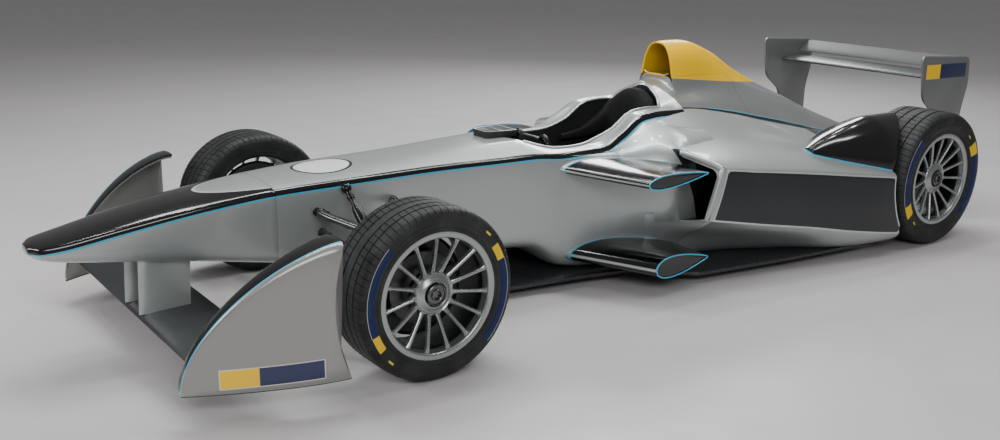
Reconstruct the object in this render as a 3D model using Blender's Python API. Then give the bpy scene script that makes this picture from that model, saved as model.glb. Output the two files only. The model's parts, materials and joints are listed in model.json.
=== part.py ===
"""Single seat open wheel racing car, at its real size.

The frame has +X towards the nose, +Y towards the car's left and +Z up. The origin is on the
ground under the middle of the car. Lengths are in metres and angles in degrees.
"""
import math

import bmesh
import bpy
from mathutils import Matrix, Vector

# Running gear
FRONT_AXLE_X = 1.32
REAR_AXLE_X = -1.78
CAR_WIDTH = 1.80
FRONT_TYRE_DIAMETER = 0.653
FRONT_TYRE_WIDTH = 0.245
REAR_TYRE_DIAMETER = 0.701
REAR_TYRE_WIDTH = 0.305
BEAD_DIAMETER = 0.4572
BEAD_SHARE = 0.86
RIM_FLANGE = 0.020
RIM_WALL = 0.014
RIM_CENTRE_RADIUS = 0.082
RIM_CENTRE_THICKNESS = 0.024
RIM_DISH = 0.028
SPOKE_COUNT = 15
SPOKE_WIDTH = 0.017
SPOKE_DEPTH = 0.022
WHEEL_SEGMENTS = 24
HUB_SEGMENTS = 14
HUB_RADIUS = 0.030
HUB_BORE_RADIUS = 0.021
HUB_BORE_DEPTH = 0.030
STUB_RADIUS = 0.018
NUT_RADIUS = 0.042
NUT_LENGTH = 0.026
NUT_RECESS_RADIUS = 0.016
NUT_RECESS_DEPTH = 0.012
DISC_RADIUS = 0.139
DISC_THICKNESS = 0.024
DISC_OFFSET = 0.016

FRONT_AXLE_Z = FRONT_TYRE_DIAMETER / 2
REAR_AXLE_Z = REAR_TYRE_DIAMETER / 2

# Steering
KINGPIN_INSET = 0.20
KINGPIN_Y = CAR_WIDTH / 2 - KINGPIN_INSET
KINGPIN_RADIUS = 0.020
KINGPIN_LOW_Z = 0.205
KINGPIN_HIGH_Z = 0.450
STEERING_ARM_LENGTH = 0.12
STEERING_ARM_INSET = 0.04
STEERING_ARM_WIDTH = 0.036
STEERING_ARM_THICKNESS = 0.014
TRACK_ROD_RADIUS = 0.009
RACK_Z = 0.420
STEERING_WHEEL_X = 0.235
STEERING_WHEEL_Z = 0.600

# Body
NOSE_TIP_X = 2.50
NOSE_JOINT_X = 1.62
TUB_END_X = -0.50
TAIL_X = -2.50
CENTRE_HALF_WIDTH = 0.25
FLOOR_UNDERSIDE_Z = 0.040
FLOOR_THICKNESS = 0.018
POD_END_X = REAR_AXLE_X + 0.33
TYRE_CLEARANCE = 0.030
SPACE_TOP_Z = 1.2
SPACE_HALF_WIDTH = 1.1

# Aerofoils
FRONT_WING_LEADING_X = 2.15
FRONT_WING_CHORD = 0.28
FRONT_WING_Z = 0.165
FRONT_WING_THICKNESS = 0.026
ENDPLATE_FRONT_X = 2.217
ENDPLATE_REAR_X = 1.685
ENDPLATE_LOW_Z = 0.100
ENDPLATE_HIGH_Z = 0.590
ENDPLATE_SKIN = 0.016
ENDPLATE_TOE_IN = 0.18
ENDPLATE_TIP_HEIGHT = 0.02
ENDPLATE_EDGE_DROP = 0.008
ENDPLATE_EDGE_WIDTH = 0.010
ENDPLATE_SHELF_DROP = 0.004
REAR_WING_HALF_SPAN = 0.545
REAR_ENDPLATE_THICKNESS = 0.014

# Fits
SEAT_GAP = 0.0003
SLIDE_GAP = 0.0005
ROOT_OVERLAP = 0.012

FLOOR_TOP_Z = FLOOR_UNDERSIDE_Z + FLOOR_THICKNESS
KEEL_Z = FLOOR_TOP_Z + SEAT_GAP


for leftover in list(bpy.data.objects):
    bpy.data.objects.remove(leftover, do_unlink=True)


def new_material(name, colour, roughness, metallic=0.0, coat=0.0):
    material = bpy.data.materials.new(name)
    material.use_nodes = True
    shader = material.node_tree.nodes["Principled BSDF"]
    shader.inputs["Base Color"].default_value = (*colour, 1.0)
    shader.inputs["Roughness"].default_value = roughness
    shader.inputs["Metallic"].default_value = metallic
    shader.inputs["Coat Weight"].default_value = coat
    return material


SILVER = new_material("silver_paint", (0.46, 0.47, 0.47), 0.32, 0.75, 0.6)
YELLOW = new_material("yellow_paint", (0.95, 0.62, 0.01), 0.35, 0.0, 0.6)
BLACK_GLOSS = new_material("black_gloss", (0.006, 0.006, 0.007), 0.12, 0.0, 1.0)
CARBON = new_material("carbon", (0.022, 0.023, 0.025), 0.42)
PADDING = new_material("padding", (0.012, 0.012, 0.013), 0.85)
WHEEL_METAL = new_material("wheel_metal", (0.42, 0.42, 0.42), 0.38, 0.9)
DARK_METAL = new_material("dark_metal", (0.10, 0.10, 0.105), 0.45, 0.8)
DISC_METAL = new_material("disc_metal", (0.18, 0.17, 0.16), 0.50, 0.8)
RUBBER = new_material("rubber", (0.018, 0.018, 0.018), 0.80)
CASING = new_material("casing", (0.26, 0.26, 0.27), 0.55, 0.7)


def add_object(name, shape, material):
    """Turn a bmesh into a named object with smooth round faces."""
    mesh = bpy.data.meshes.new(name)
    shape.to_mesh(mesh)
    shape.free()
    mesh.materials.append(material)
    piece = bpy.data.objects.new(name, mesh)
    bpy.context.collection.objects.link(piece)
    mesh.shade_smooth()
    mesh.set_sharp_from_angle(angle=math.radians(32))
    return piece


def face_outwards(shape):
    """Make every face of a closed shape look out of its solid."""
    bmesh.ops.recalc_face_normals(shape, faces=shape.faces[:])
    if shape.calc_volume(signed=True) < 0.0:
        bmesh.ops.reverse_faces(shape, faces=shape.faces[:])
    return shape


def loft(rings):
    """Skin a row of rings that have the same number of points, and close both ends."""
    shape = bmesh.new()
    rows = [[shape.verts.new(point) for point in ring] for ring in rings]
    count = len(rows[0])
    for first, second in zip(rows, rows[1:]):
        for i in range(count):
            j = (i + 1) % count
            shape.faces.new((first[i], first[j], second[j], second[i]))
    shape.faces.new(rows[0])
    shape.faces.new(rows[-1])
    bmesh.ops.triangulate(shape, faces=shape.faces[:])
    return face_outwards(shape)


def turned(profile, segments, centre):
    """Turn (radius, y) points about the line through centre along Y.

    A profile whose ends both lie on the axis is closed there. Any other profile is a closed
    loop, which makes a ring.
    """
    shape = bmesh.new()
    on_axis = profile[0][0] == 0.0 and profile[-1][0] == 0.0
    columns = []
    for radius, y in profile:
        if radius == 0.0:
            columns.append([shape.verts.new((centre[0], y, centre[2]))])
            continue
        column = []
        for i in range(segments):
            angle = 2.0 * math.pi * i / segments
            x = centre[0] + radius * math.sin(angle)
            z = centre[2] + radius * math.cos(angle)
            column.append(shape.verts.new((x, y, z)))
        columns.append(column)
    pairs = list(zip(columns, columns[1:]))
    if not on_axis:
        pairs.append((columns[-1], columns[0]))
    for first, second in pairs:
        for i in range(segments):
            j = (i + 1) % segments
            if len(first) == 1:
                shape.faces.new((first[0], second[j], second[i]))
            elif len(second) == 1:
                shape.faces.new((first[i], first[j], second[0]))
            else:
                shape.faces.new((first[i], first[j], second[j], second[i]))
    return face_outwards(shape)


def box(low, high):
    """A plain block between two corners."""
    shape = bmesh.new()
    bmesh.ops.create_cube(shape, size=1.0)
    size = [high[i] - low[i] for i in range(3)]
    middle = [(high[i] + low[i]) / 2.0 for i in range(3)]
    bmesh.ops.scale(shape, vec=size, verts=shape.verts[:])
    bmesh.ops.translate(shape, vec=middle, verts=shape.verts[:])
    return shape


def prism(outline, low, high, axis):
    """Extrude an outline of pairs along one axis, from low to high."""
    def place(first, second, level):
        if axis == "X":
            return (level, first, second)
        if axis == "Y":
            return (first, level, second)
        return (first, second, level)
    rings = [[place(a, b, level) for a, b in outline] for level in (low, high)]
    return loft(rings)


def cylinder(start, end, radius, segments):
    """A round bar between two points."""
    axis = Vector(end) - Vector(start)
    turn = axis.to_track_quat("Z", "Y").to_matrix()
    rings = []
    for centre in (Vector(start), Vector(end)):
        ring = []
        for i in range(segments):
            angle = 2.0 * math.pi * i / segments
            offset = turn @ Vector((radius * math.cos(angle), radius * math.sin(angle), 0.0))
            ring.append(centre + offset)
        rings.append(ring)
    return loft(rings)


def apply_boolean(piece, shape, operation, solver="EXACT"):
    """Join a bmesh to a piece, cut it out of the piece, or keep only what lies in it."""
    tool = add_object("tool", shape, piece.data.materials[0])
    modifier = piece.modifiers.new("boolean", "BOOLEAN")
    modifier.operation = operation
    modifier.solver = solver
    modifier.object = tool
    bpy.context.view_layer.objects.active = piece
    bpy.ops.object.modifier_apply(modifier=modifier.name)
    bpy.data.objects.remove(tool, do_unlink=True)


def join(piece, *shapes):
    for shape in shapes:
        apply_boolean(piece, shape, "UNION")


def cut(piece, *shapes):
    for shape in shapes:
        apply_boolean(piece, shape, "DIFFERENCE")


def set_pivot(piece, point):
    """Move a piece's origin onto its joint's axis and leave its shape where it is."""
    piece.data.transform(Matrix.Translation(-Vector(point)))
    piece.location = point


def mirror_piece(piece, name):
    """Copy a left piece to the car's right side."""
    mesh = piece.data.copy()
    mesh.name = name
    mesh.transform(Matrix.Scale(-1.0, 4, (0.0, 1.0, 0.0)))
    mesh.flip_normals()
    twin = bpy.data.objects.new(name, mesh)
    x, y, z = piece.location
    twin.location = (x, -y, z)
    bpy.context.collection.objects.link(twin)
    return twin


def make_pair(stem, build):
    """Build the left piece and its mirrored right one."""
    left = build(stem + "_left")
    return left, mirror_piece(left, stem + "_right")


def symmetric_ring(x, half):
    """A ring across the car, from (y, z) points that run from the keel to the crown."""
    left = [(x, y, z) for y, z in half]
    right = [(x, -y, z) for y, z in reversed(half[1:-1])]
    return left + right


def between(low, high, share):
    return low + (high - low) * share


def look_up(table, x, column):
    """Read a column of a table at x, between its rows, which run from front to back."""
    for first, second in zip(table, table[1:]):
        if first[0] >= x >= second[0]:
            share = (first[0] - x) / (first[0] - second[0])
            return between(first[column], second[column], share)
    raise ValueError("x is outside the table")


# Sections of the nose and the tub: x, keel half width, keel z, chine half width, chine z,
# flank half width, flank z, shoulder half width, shoulder z, fillet half width, fillet z,
# band half width, band z, rim half width, rim z, crown z.
BODY_SECTIONS = (
    (2.500, 0.022, 0.458, 0.040, 0.464, 0.050, 0.474, 0.046, 0.486,
     0.042, 0.4895, 0.036, 0.491, 0.018, 0.494, 0.495),
    (2.470, 0.050, 0.443, 0.082, 0.452, 0.096, 0.468, 0.094, 0.487,
     0.089, 0.493, 0.080, 0.496, 0.044, 0.501, 0.503),
    (2.380, 0.070, 0.424, 0.108, 0.438, 0.124, 0.462, 0.120, 0.497,
     0.115, 0.505, 0.106, 0.509, 0.060, 0.517, 0.520),
    (2.200, 0.086, 0.398, 0.124, 0.415, 0.143, 0.450, 0.142, 0.526,
     0.137, 0.536, 0.128, 0.541, 0.074, 0.552, 0.556),
    (1.900, 0.098, 0.350, 0.146, 0.372, 0.167, 0.420, 0.168, 0.568,
     0.163, 0.579, 0.153, 0.585, 0.090, 0.599, 0.604),
    (1.620, 0.115, 0.300, 0.176, 0.330, 0.190, 0.430, 0.187, 0.593,
     0.182, 0.605, 0.171, 0.611, 0.100, 0.623, 0.628),
    (1.320, 0.130, 0.245, 0.200, 0.285, 0.214, 0.420, 0.213, 0.603,
     0.208, 0.616, 0.197, 0.622, 0.115, 0.636, 0.641),
    (0.950, 0.150, 0.215, 0.215, 0.252, 0.227, 0.400, 0.223, 0.608,
     0.218, 0.621, 0.207, 0.627, 0.122, 0.649, 0.655),
    (0.600, 0.190, 0.200, 0.252, 0.232, 0.266, 0.380, 0.262, 0.610,
     0.257, 0.623, 0.245, 0.629, 0.140, 0.662, 0.672),
    (0.430, 0.215, 0.185, 0.276, 0.215, 0.291, 0.360, 0.278, 0.611,
     0.273, 0.624, 0.261, 0.630, 0.150, 0.666, 0.678),
    (0.260, 0.270, 0.085, 0.306, 0.130, 0.318, 0.350, 0.294, 0.600,
     0.288, 0.609, 0.275, 0.617, 0.200, 0.630, 0.668),
    (0.050, 0.300, KEEL_Z, 0.338, 0.105, 0.362, 0.340, 0.330, 0.594,
     0.297, 0.600, 0.283, 0.618, 0.206, 0.624, 0.680),
    (-0.100, 0.320, KEEL_Z, 0.356, 0.100, 0.428, 0.330, 0.400, 0.604,
     0.284, 0.634, 0.270, 0.672, 0.200, 0.664, 0.700),
    (-0.240, 0.350, KEEL_Z, 0.400, 0.100, 0.492, 0.300, 0.492, 0.606,
     0.280, 0.704, 0.254, 0.742, 0.190, 0.745, 0.760),
    (-0.340, 0.370, KEEL_Z, 0.430, 0.100, 0.505, 0.280, 0.505, 0.606,
     0.286, 0.716, 0.258, 0.750, 0.186, 0.756, 0.800),
    (TUB_END_X, 0.390, KEEL_Z, 0.440, 0.100, 0.510, 0.280, 0.510, 0.600,
     0.288, 0.716, 0.262, 0.746, 0.200, 0.780, 0.870),
)


def body_ring(section, grow=0.0):
    x, *values = section
    keel, keel_z, chine, chine_z, flank, flank_z, shoulder, shoulder_z = values[:8]
    fillet, fillet_z, band, band_z, rim, rim_z, crown_z = values[8:]
    half = (
        (0.0, keel_z - grow),
        (keel + grow, keel_z - grow),
        (chine + grow, chine_z),
        (flank + grow, flank_z),
        (shoulder + grow, shoulder_z),
        (fillet, fillet_z + grow),
        (band, band_z + grow),
        (rim, rim_z + grow),
        (0.0, crown_z + grow),
    )
    return symmetric_ring(x, half)


def body_loft(front_x, rear_x, grow=0.0):
    """The part of the body's skin between two of its sections."""
    rings = [body_ring(row, grow) for row in BODY_SECTIONS if front_x >= row[0] >= rear_x]
    return loft(rings)


# Cockpit opening: x, half width, floor z.
COCKPIT_SECTIONS = (
    (0.465, 0.020, 0.290),
    (0.420, 0.120, 0.280),
    (0.370, 0.165, 0.265),
    (0.320, 0.187, 0.240),
    (0.220, 0.208, 0.180),
    (0.120, 0.204, 0.140),
    (0.020, 0.176, 0.130),
    (-0.280, 0.167, 0.130),
    (-0.430, 0.140, 0.130),
)
FOOTWELL = ((0.40, 0.165, 0.275, 0.570), (1.18, 0.125, 0.300, 0.540))

SUSPENSION_LUG_Y = 0.226
LUG_LENGTH = 0.070
LUG_HEIGHT = 0.034
UPPER_ARM_LEGS_X = (0.17, -0.20)
UPPER_ARM_INNER_Z = 0.500
LOWER_ARM_LEGS_X = (0.19, -0.22)
LOWER_ARM_INNER_Z = 0.330
PUSHROD_INNER_Z = 0.575


def build_monocoque():
    tub = add_object("monocoque", body_loft(NOSE_JOINT_X, TUB_END_X), SILVER)
    cockpit = loft([
        [(x, -half, low), (x, half, low), (x, half, SPACE_TOP_Z), (x, -half, SPACE_TOP_Z)]
        for x, half, low in COCKPIT_SECTIONS
    ])
    footwell = loft([
        [(x, -half, low), (x, half, low), (x, half, high), (x, -half, high)]
        for x, half, low, high in FOOTWELL
    ])
    rack_tunnel = cylinder(
        (FRONT_AXLE_X + STEERING_ARM_LENGTH, -CAR_WIDTH / 4, RACK_Z),
        (FRONT_AXLE_X + STEERING_ARM_LENGTH, CAR_WIDTH / 4, RACK_Z),
        TRACK_ROD_RADIUS + SLIDE_GAP,
        12,
    )
    cut(tub, cockpit, footwell, rack_tunnel)
    for side in (1, -1):
        points = [(dx, UPPER_ARM_INNER_Z) for dx in UPPER_ARM_LEGS_X]
        points += [(dx, LOWER_ARM_INNER_Z) for dx in LOWER_ARM_LEGS_X]
        points.append((0.0, PUSHROD_INNER_Z))
        for dx, z in points:
            x = FRONT_AXLE_X + dx
            inner = side * (SUSPENSION_LUG_Y - 0.06)
            outer = side * SUSPENSION_LUG_Y
            low = (x - LUG_LENGTH / 2, min(inner, outer), z - LUG_HEIGHT / 2)
            high = (x + LUG_LENGTH / 2, max(inner, outer), z + LUG_HEIGHT / 2)
            join(tub, box(low, high))
    return tub


PYLON_FRONT_X = 2.13
PYLON_CHORD = 0.20
PYLON_THICKNESS = 0.016
PYLON_Y = 0.085
PYLON_TOP_Z = 0.46
PYLON_FOOT_RISE = 0.008


def wing_section(leading_x, z, chord, thickness, incidence=0.0, grow=0.0):
    """A blunt aerofoil's (x, z) points; it trails towards -X and lifts the car down."""
    shares = (
        (0.00, 0.00), (0.03, 0.30), (0.20, 0.50), (0.55, 0.42), (1.00, 0.06),
        (1.00, -0.06), (0.55, -0.42), (0.20, -0.50), (0.03, -0.30),
    )
    tilt = math.radians(incidence)
    points = []
    for along, up in shares:
        run = along * chord
        rise = up * (thickness + 2.0 * grow)
        x = leading_x - run * math.cos(tilt) - rise * math.sin(tilt)
        points.append((x, z + run * math.sin(tilt) + rise * math.cos(tilt)))
    return points


FRONT_WING_INCIDENCE = 3.0


def front_wing_loft(grow=0.0):
    """The front wing, whose tips follow the endplates' inner faces."""
    section = wing_section(
        FRONT_WING_LEADING_X + grow, FRONT_WING_Z, FRONT_WING_CHORD + 2.0 * grow,
        FRONT_WING_THICKNESS, FRONT_WING_INCIDENCE, grow)
    left = [(x, endplate_inner_y(x) - SEAT_GAP, z) for x, z in section]
    right = [(x, -y, z) for x, y, z in left]
    middle = [[(x, y, z) for x, z in section] for y in (0.3, -0.3)]
    return loft([left] + middle + [right])


def build_nose():
    """The nose cone, with the two pylons that carry the front wing."""
    nose = add_object("nose_cone", body_loft(NOSE_TIP_X, NOSE_JOINT_X), SILVER)
    for side in (1, -1):
        outline = (
            (PYLON_FRONT_X + 0.005, 0.0), (PYLON_FRONT_X - 0.03, 0.5),
            (PYLON_FRONT_X - 0.10, 0.5), (PYLON_FRONT_X - PYLON_CHORD, 0.1),
            (PYLON_FRONT_X - PYLON_CHORD, -0.1), (PYLON_FRONT_X - 0.10, -0.5),
            (PYLON_FRONT_X - 0.03, -0.5),
        )
        plan = [(x, side * PYLON_Y + share * PYLON_THICKNESS) for x, share in outline]
        join(nose, prism(plan, FRONT_WING_Z + PYLON_FOOT_RISE, PYLON_TOP_Z, "Z"))
    cut(nose, front_wing_loft(SEAT_GAP))
    cut(nose, box((NOSE_JOINT_X - 1.0, -1.0, 0.0), (NOSE_JOINT_X + SEAT_GAP, 1.0, 1.0)))
    return nose


COVER_UNDERSIDE_Z = REAR_AXLE_Z + 0.0695

# Engine cover: x, side z low, side half width, deck z, spine shoulder half width,
# spine shoulder z, spine half width, spine z, crown z.
COVER_SECTIONS = (
    (TUB_END_X - SEAT_GAP, 0.50, 0.250, 0.744, 0.205, 0.790, 0.135, 0.880, 0.112, 0.985, 1.044),
    (-0.560, 0.50, 0.250, 0.738, 0.208, 0.775, 0.142, 0.880, 0.120, 0.990, 1.050),
    (-0.700, 0.50, 0.250, 0.718, 0.205, 0.765, 0.140, 0.868, 0.108, 0.985, 1.048),
    (-0.880, 0.50, 0.250, 0.683, 0.200, 0.735, 0.128, 0.830, 0.085, 0.930, 0.995),
    (-1.100, 0.48, 0.250, 0.630, 0.195, 0.690, 0.115, 0.770, 0.062, 0.830, 0.876),
    (-1.300, 0.44, 0.250, 0.585, 0.185, 0.640, 0.110, 0.710, 0.050, 0.755, 0.785),
    (-1.500, COVER_UNDERSIDE_Z, 0.235, 0.540, 0.165, 0.590, 0.100, 0.645, 0.045, 0.685, 0.706),
    (-1.780, COVER_UNDERSIDE_Z, 0.190, 0.490, 0.135, 0.530, 0.085, 0.560, 0.040, 0.580, 0.590),
    (-2.060, COVER_UNDERSIDE_Z - 0.01, 0.120, 0.445, 0.100, 0.465, 0.070, 0.480, 0.035, 0.487, 0.490),
)
# Air intake: x, sill half width, sill z, shoulder half width, shoulder z, crown z.
INTAKE_SECTIONS = (
    (-0.40, 0.108, 0.892, 0.092, 0.985, 1.026),
    (-0.62, 0.092, 0.896, 0.078, 0.972, 1.006),
    (-0.82, 0.060, 0.885, 0.050, 0.920, 0.945),
)
# Side view of the joint between the cover and the air box on top of it: x, z.
AIRBOX_JOINT = ((-0.40, 0.884), (-0.90, 0.868), (-1.33, 0.740))


def cover_loft():
    """The whole outer shape behind the driver, air box included."""
    rings = []
    for x, low, side, deck, hip, hip_z, waist, waist_z, top, top_z, crown in COVER_SECTIONS:
        half = (
            (0.0, low), (side, low), (side, deck), (hip, hip_z), (waist, waist_z),
            (top, top_z), (0.0, crown),
        )
        rings.append(symmetric_ring(x, half))
    return loft(rings)


def over_airbox_joint(gap):
    """All the space above the air box's joint line."""
    outline = [(x, z + gap) for x, z in AIRBOX_JOINT]
    outline += [(AIRBOX_JOINT[-1][0], SPACE_TOP_Z), (AIRBOX_JOINT[0][0], SPACE_TOP_Z)]
    return prism(outline, -SPACE_HALF_WIDTH, SPACE_HALF_WIDTH, "Y")


def build_engine_cover():
    cover = add_object("engine_cover", cover_loft(), SILVER)
    apply_boolean(cover, over_airbox_joint(0.0), "DIFFERENCE", "MANIFOLD")
    return cover


def build_airbox():
    """The box over the driver's head, with its open air intake."""
    airbox = add_object("airbox", cover_loft(), YELLOW)
    apply_boolean(airbox, over_airbox_joint(SEAT_GAP), "INTERSECT", "MANIFOLD")
    rings = []
    for x, sill, sill_z, shoulder, shoulder_z, crown_z in INTAKE_SECTIONS:
        half = (
            (0.0, sill_z), (sill, sill_z), (shoulder, shoulder_z),
            (shoulder * 0.6, crown_z - 0.01), (0.0, crown_z),
        )
        rings.append(symmetric_ring(x, half))
    cut(airbox, loft(rings))
    return airbox


# Side pod: x, sill half width, undercut half width, undercut z, panel foot half width,
# panel foot z, panel top half width, panel top z, deck edge half width, deck edge z,
# inner deck z.
POD_SECTIONS = (
    (-0.300, 0.400, 0.510, 0.190, 0.694, 0.312, 0.702, 0.548, 0.672, 0.570, 0.715),
    (-0.500, 0.430, 0.565, 0.165, 0.742, 0.272, 0.738, 0.528, 0.706, 0.552, 0.744),
    (-0.880, 0.600, 0.715, 0.122, 0.812, 0.208, 0.802, 0.482, 0.768, 0.507, 0.683),
    (-1.100, 0.740, 0.812, 0.100, 0.852, 0.166, 0.840, 0.452, 0.806, 0.477, 0.630),
    (-1.300, 0.800, 0.858, 0.090, 0.884, 0.134, 0.868, 0.425, 0.834, 0.450, 0.585),
    (POD_END_X, 0.820, 0.874, 0.085, 0.896, 0.112, 0.884, 0.404, 0.850, 0.428, 0.552),
)
POD_INNER_Y = CENTRE_HALF_WIDTH + SEAT_GAP
POD_DECK_SAG = 0.006


def pod_deck(section, rise=0.0):
    """The deck's (y, z) points of a pod section, from the outer edge inwards."""
    edge, edge_z, deck_z = section[8:]
    middle = between(POD_INNER_Y, edge, 0.5)
    middle_z = between(deck_z, edge_z, 0.55) - POD_DECK_SAG
    return [(edge, edge_z + rise), (middle, middle_z + rise), (POD_INNER_Y, deck_z + rise)]


def pod_ring(section):
    x, sill, under, under_z, foot, foot_z, top, top_z = section[:8]
    points = [
        (POD_INNER_Y, KEEL_Z), (sill, KEEL_Z), (under, under_z), (foot, foot_z),
        (top, top_z),
    ]
    points += pod_deck(section)
    ring = []
    for y, z in points:
        lean = 0.0
        if section is POD_SECTIONS[0] and z >= foot_z:
            lean = 0.05 - 0.558 * (y - 0.5) - 0.31 * (z - 0.61)
        ring.append((x + lean, y, z))
    return ring


# Floor of the air inlet ahead of the pod: x, sill half width, undercut half width,
# undercut z, outer half width, top z.
POD_CHIN = (
    (-0.080, 0.300, 0.350, 0.200, 0.395, 0.300),
    (-0.200, 0.360, 0.440, 0.195, 0.545, 0.305),
    (-0.300, 0.400, 0.510, 0.190, 0.694, 0.312),
    (-0.360, 0.400, 0.505, 0.190, 0.680, 0.305),
)

POD_DUCT = (
    (-0.10, 0.525, 0.300, 0.655, 0.300, 0.655, 0.565, 0.525, 0.590),
    (-0.46, 0.525, 0.290, 0.700, 0.290, 0.690, 0.530, 0.525, 0.560),
    (-0.80, 0.420, 0.220, 0.700, 0.230, 0.690, 0.480, 0.420, 0.520),
)


def wheel_well(grow=0.0):
    """The round space that the rear tyre keeps clear in front of it."""
    radius = REAR_TYRE_DIAMETER / 2 + TYRE_CLEARANCE + grow
    centre = (REAR_AXLE_X, 0.0, REAR_AXLE_Z)
    inner = CAR_WIDTH / 2 - REAR_TYRE_WIDTH - 0.02
    outer = SPACE_HALF_WIDTH
    profile = ((0.0, inner), (radius, inner), (radius, outer), (0.0, outer))
    return turned(profile, 64, centre)


def pod_chin(grow):
    """The tapering floor of the air inlet, swollen by grow where another piece meets it."""
    rings = []
    for x, sill, under, under_z, outer, top_z in POD_CHIN:
        ring = (
            (POD_INNER_Y, KEEL_Z - grow), (sill + grow, KEEL_Z - grow), (under + grow, under_z),
            (outer + grow, top_z + grow), (POD_INNER_Y, top_z + grow),
        )
        rings.append([(x + grow, y, z) for y, z in ring])
    return loft(rings)


def build_sidepod(name):
    """One pod, with its air duct and its outer panel."""
    pod = add_object(name, loft([pod_ring(section) for section in POD_SECTIONS]), SILVER)
    join(pod, pod_chin(0.0))
    cut(pod, body_loft(0.3, TUB_END_X, SEAT_GAP))
    rings = []
    for x, *pairs in POD_DUCT:
        rings.append([(x, pairs[i], pairs[i + 1]) for i in range(0, len(pairs), 2)])
    cut(pod, loft(rings), wheel_well())
    return pod


# Wheel fairing in front of the rear tyre: x ahead of the rear axle, inner y, inner top z,
# crown y, crown z, outer y, outer z.
FAIRING_SECTIONS = (
    (0.750, 0.590, 0.548, 0.620, 0.556, 0.650, 0.545),
    (0.600, 0.520, 0.578, 0.640, 0.622, 0.745, 0.535),
    (0.460, 0.480, 0.592, 0.660, 0.667, 0.815, 0.508),
    (0.350, 0.465, 0.595, 0.670, 0.688, 0.852, 0.488),
    (0.180, 0.460, 0.580, 0.680, 0.688, 0.860, 0.478),
)
FAIRING_CUT_END_X = REAR_AXLE_X - 0.02
FAIRING_HEIGHT = 0.16


def build_fairing(name):
    """The gloss shell that stands on the pod and hides the rear tyre's tread."""
    rings = []
    for ahead, inner, inner_z, crown, crown_z, outer, outer_z in FAIRING_SECTIONS:
        x = REAR_AXLE_X + ahead
        foot = outer_z - FAIRING_HEIGHT
        rings.append([
            (x, inner, foot), (x, outer, foot), (x, outer, outer_z),
            (x, between(crown, outer, 0.5), between(crown_z, outer_z, 0.32)),
            (x, crown, crown_z), (x, inner, inner_z),
        ])
    fairing = add_object(name, loft(rings), BLACK_GLOSS)
    stations = [(section[0], section) for section in POD_SECTIONS[2:]]
    stations.append((FAIRING_CUT_END_X, POD_SECTIONS[-1]))
    below = []
    for x, section in stations:
        top, top_z = section[6], section[7] + SEAT_GAP
        row = [(0.0, 0.0), (SPACE_HALF_WIDTH, 0.0), (SPACE_HALF_WIDTH, top_z), (top, top_z)]
        row += pod_deck(section, SEAT_GAP)
        row.append((0.0, row[-1][1]))
        below.append([(x, y, z) for y, z in row])
    cut(fairing, loft(below), wheel_well())
    return fairing


FLOOR_OUTLINE = (
    (1.02, 0.10), (0.94, 0.17), (0.60, 0.33), (0.26, 0.38), (-0.02, 0.44), (-0.26, 0.66),
    (-0.80, 0.74), (-1.38, 0.80), (-1.40, 0.56), (-1.62, 0.56),
)
DIFFUSER_START_X = -1.62
DIFFUSER_END_X = -2.20
DIFFUSER_RISE = 0.17
DIFFUSER_HALF_WIDTH = 0.50
STRAKE_YS = (-0.47, -0.24, 0.0, 0.24, 0.47)
STRAKE_THICKNESS = 0.012


def build_floor():
    """The flat floor, with its raised diffuser and the fins under it."""
    low = FLOOR_UNDERSIDE_Z
    high = FLOOR_TOP_Z
    outline = list(FLOOR_OUTLINE) + [(x, -y) for x, y in reversed(FLOOR_OUTLINE)]
    floor = add_object("floor", prism(outline, low, high, "Z"), CARBON)
    diffuser = loft([
        [(x, y, low + rise) for y in (-half, half)] + [(x, y, high + rise) for y in (half, -half)]
        for x, half, rise in (
            (DIFFUSER_START_X + ROOT_OVERLAP, 0.55, 0.0),
            (DIFFUSER_START_X, 0.55, 0.0),
            (DIFFUSER_START_X - 0.2, 0.54, DIFFUSER_RISE * 0.25),
            (DIFFUSER_END_X, DIFFUSER_HALF_WIDTH, DIFFUSER_RISE),
        )
    ])
    join(floor, diffuser)
    for y in STRAKE_YS:
        side = (
            (DIFFUSER_START_X - 0.05, low + 0.002), (DIFFUSER_END_X + 0.02, low + 0.03),
            (DIFFUSER_END_X + 0.01, low + DIFFUSER_RISE + 0.008),
            (DIFFUSER_START_X - 0.2, low + DIFFUSER_RISE * 0.25 + 0.008),
            (DIFFUSER_START_X - 0.05, low + 0.016),
        )
        join(floor, prism(side, y - STRAKE_THICKNESS / 2, y + STRAKE_THICKNESS / 2, "Y"))
    return floor


BATTERY_REAR_X = -1.10
BATTERY_HALF_WIDTH = 0.235
BATTERY_TOP_Z = 0.470


def build_battery():
    low = (BATTERY_REAR_X, -BATTERY_HALF_WIDTH, KEEL_Z)
    high = (TUB_END_X - SEAT_GAP, BATTERY_HALF_WIDTH, BATTERY_TOP_Z)
    return add_object("battery_case", box(low, high), CASING)


GEARBOX_HALF_WIDTH = 0.12
GEARBOX_CHAMFER = 0.02
# Gearbox: x, half width, underside z, top z.
GEARBOX_SECTIONS = (
    (BATTERY_REAR_X - SEAT_GAP, 0.20, 0.075, 0.405),
    (-1.40, 0.15, 0.085, 0.400),
    (-1.50, GEARBOX_HALF_WIDTH, 0.130, 0.400),
    (-2.06, GEARBOX_HALF_WIDTH, 0.250, 0.390),
    (-2.30, 0.085, 0.265, 0.375),
    (TAIL_X, 0.060, 0.280, 0.360),
)


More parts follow.
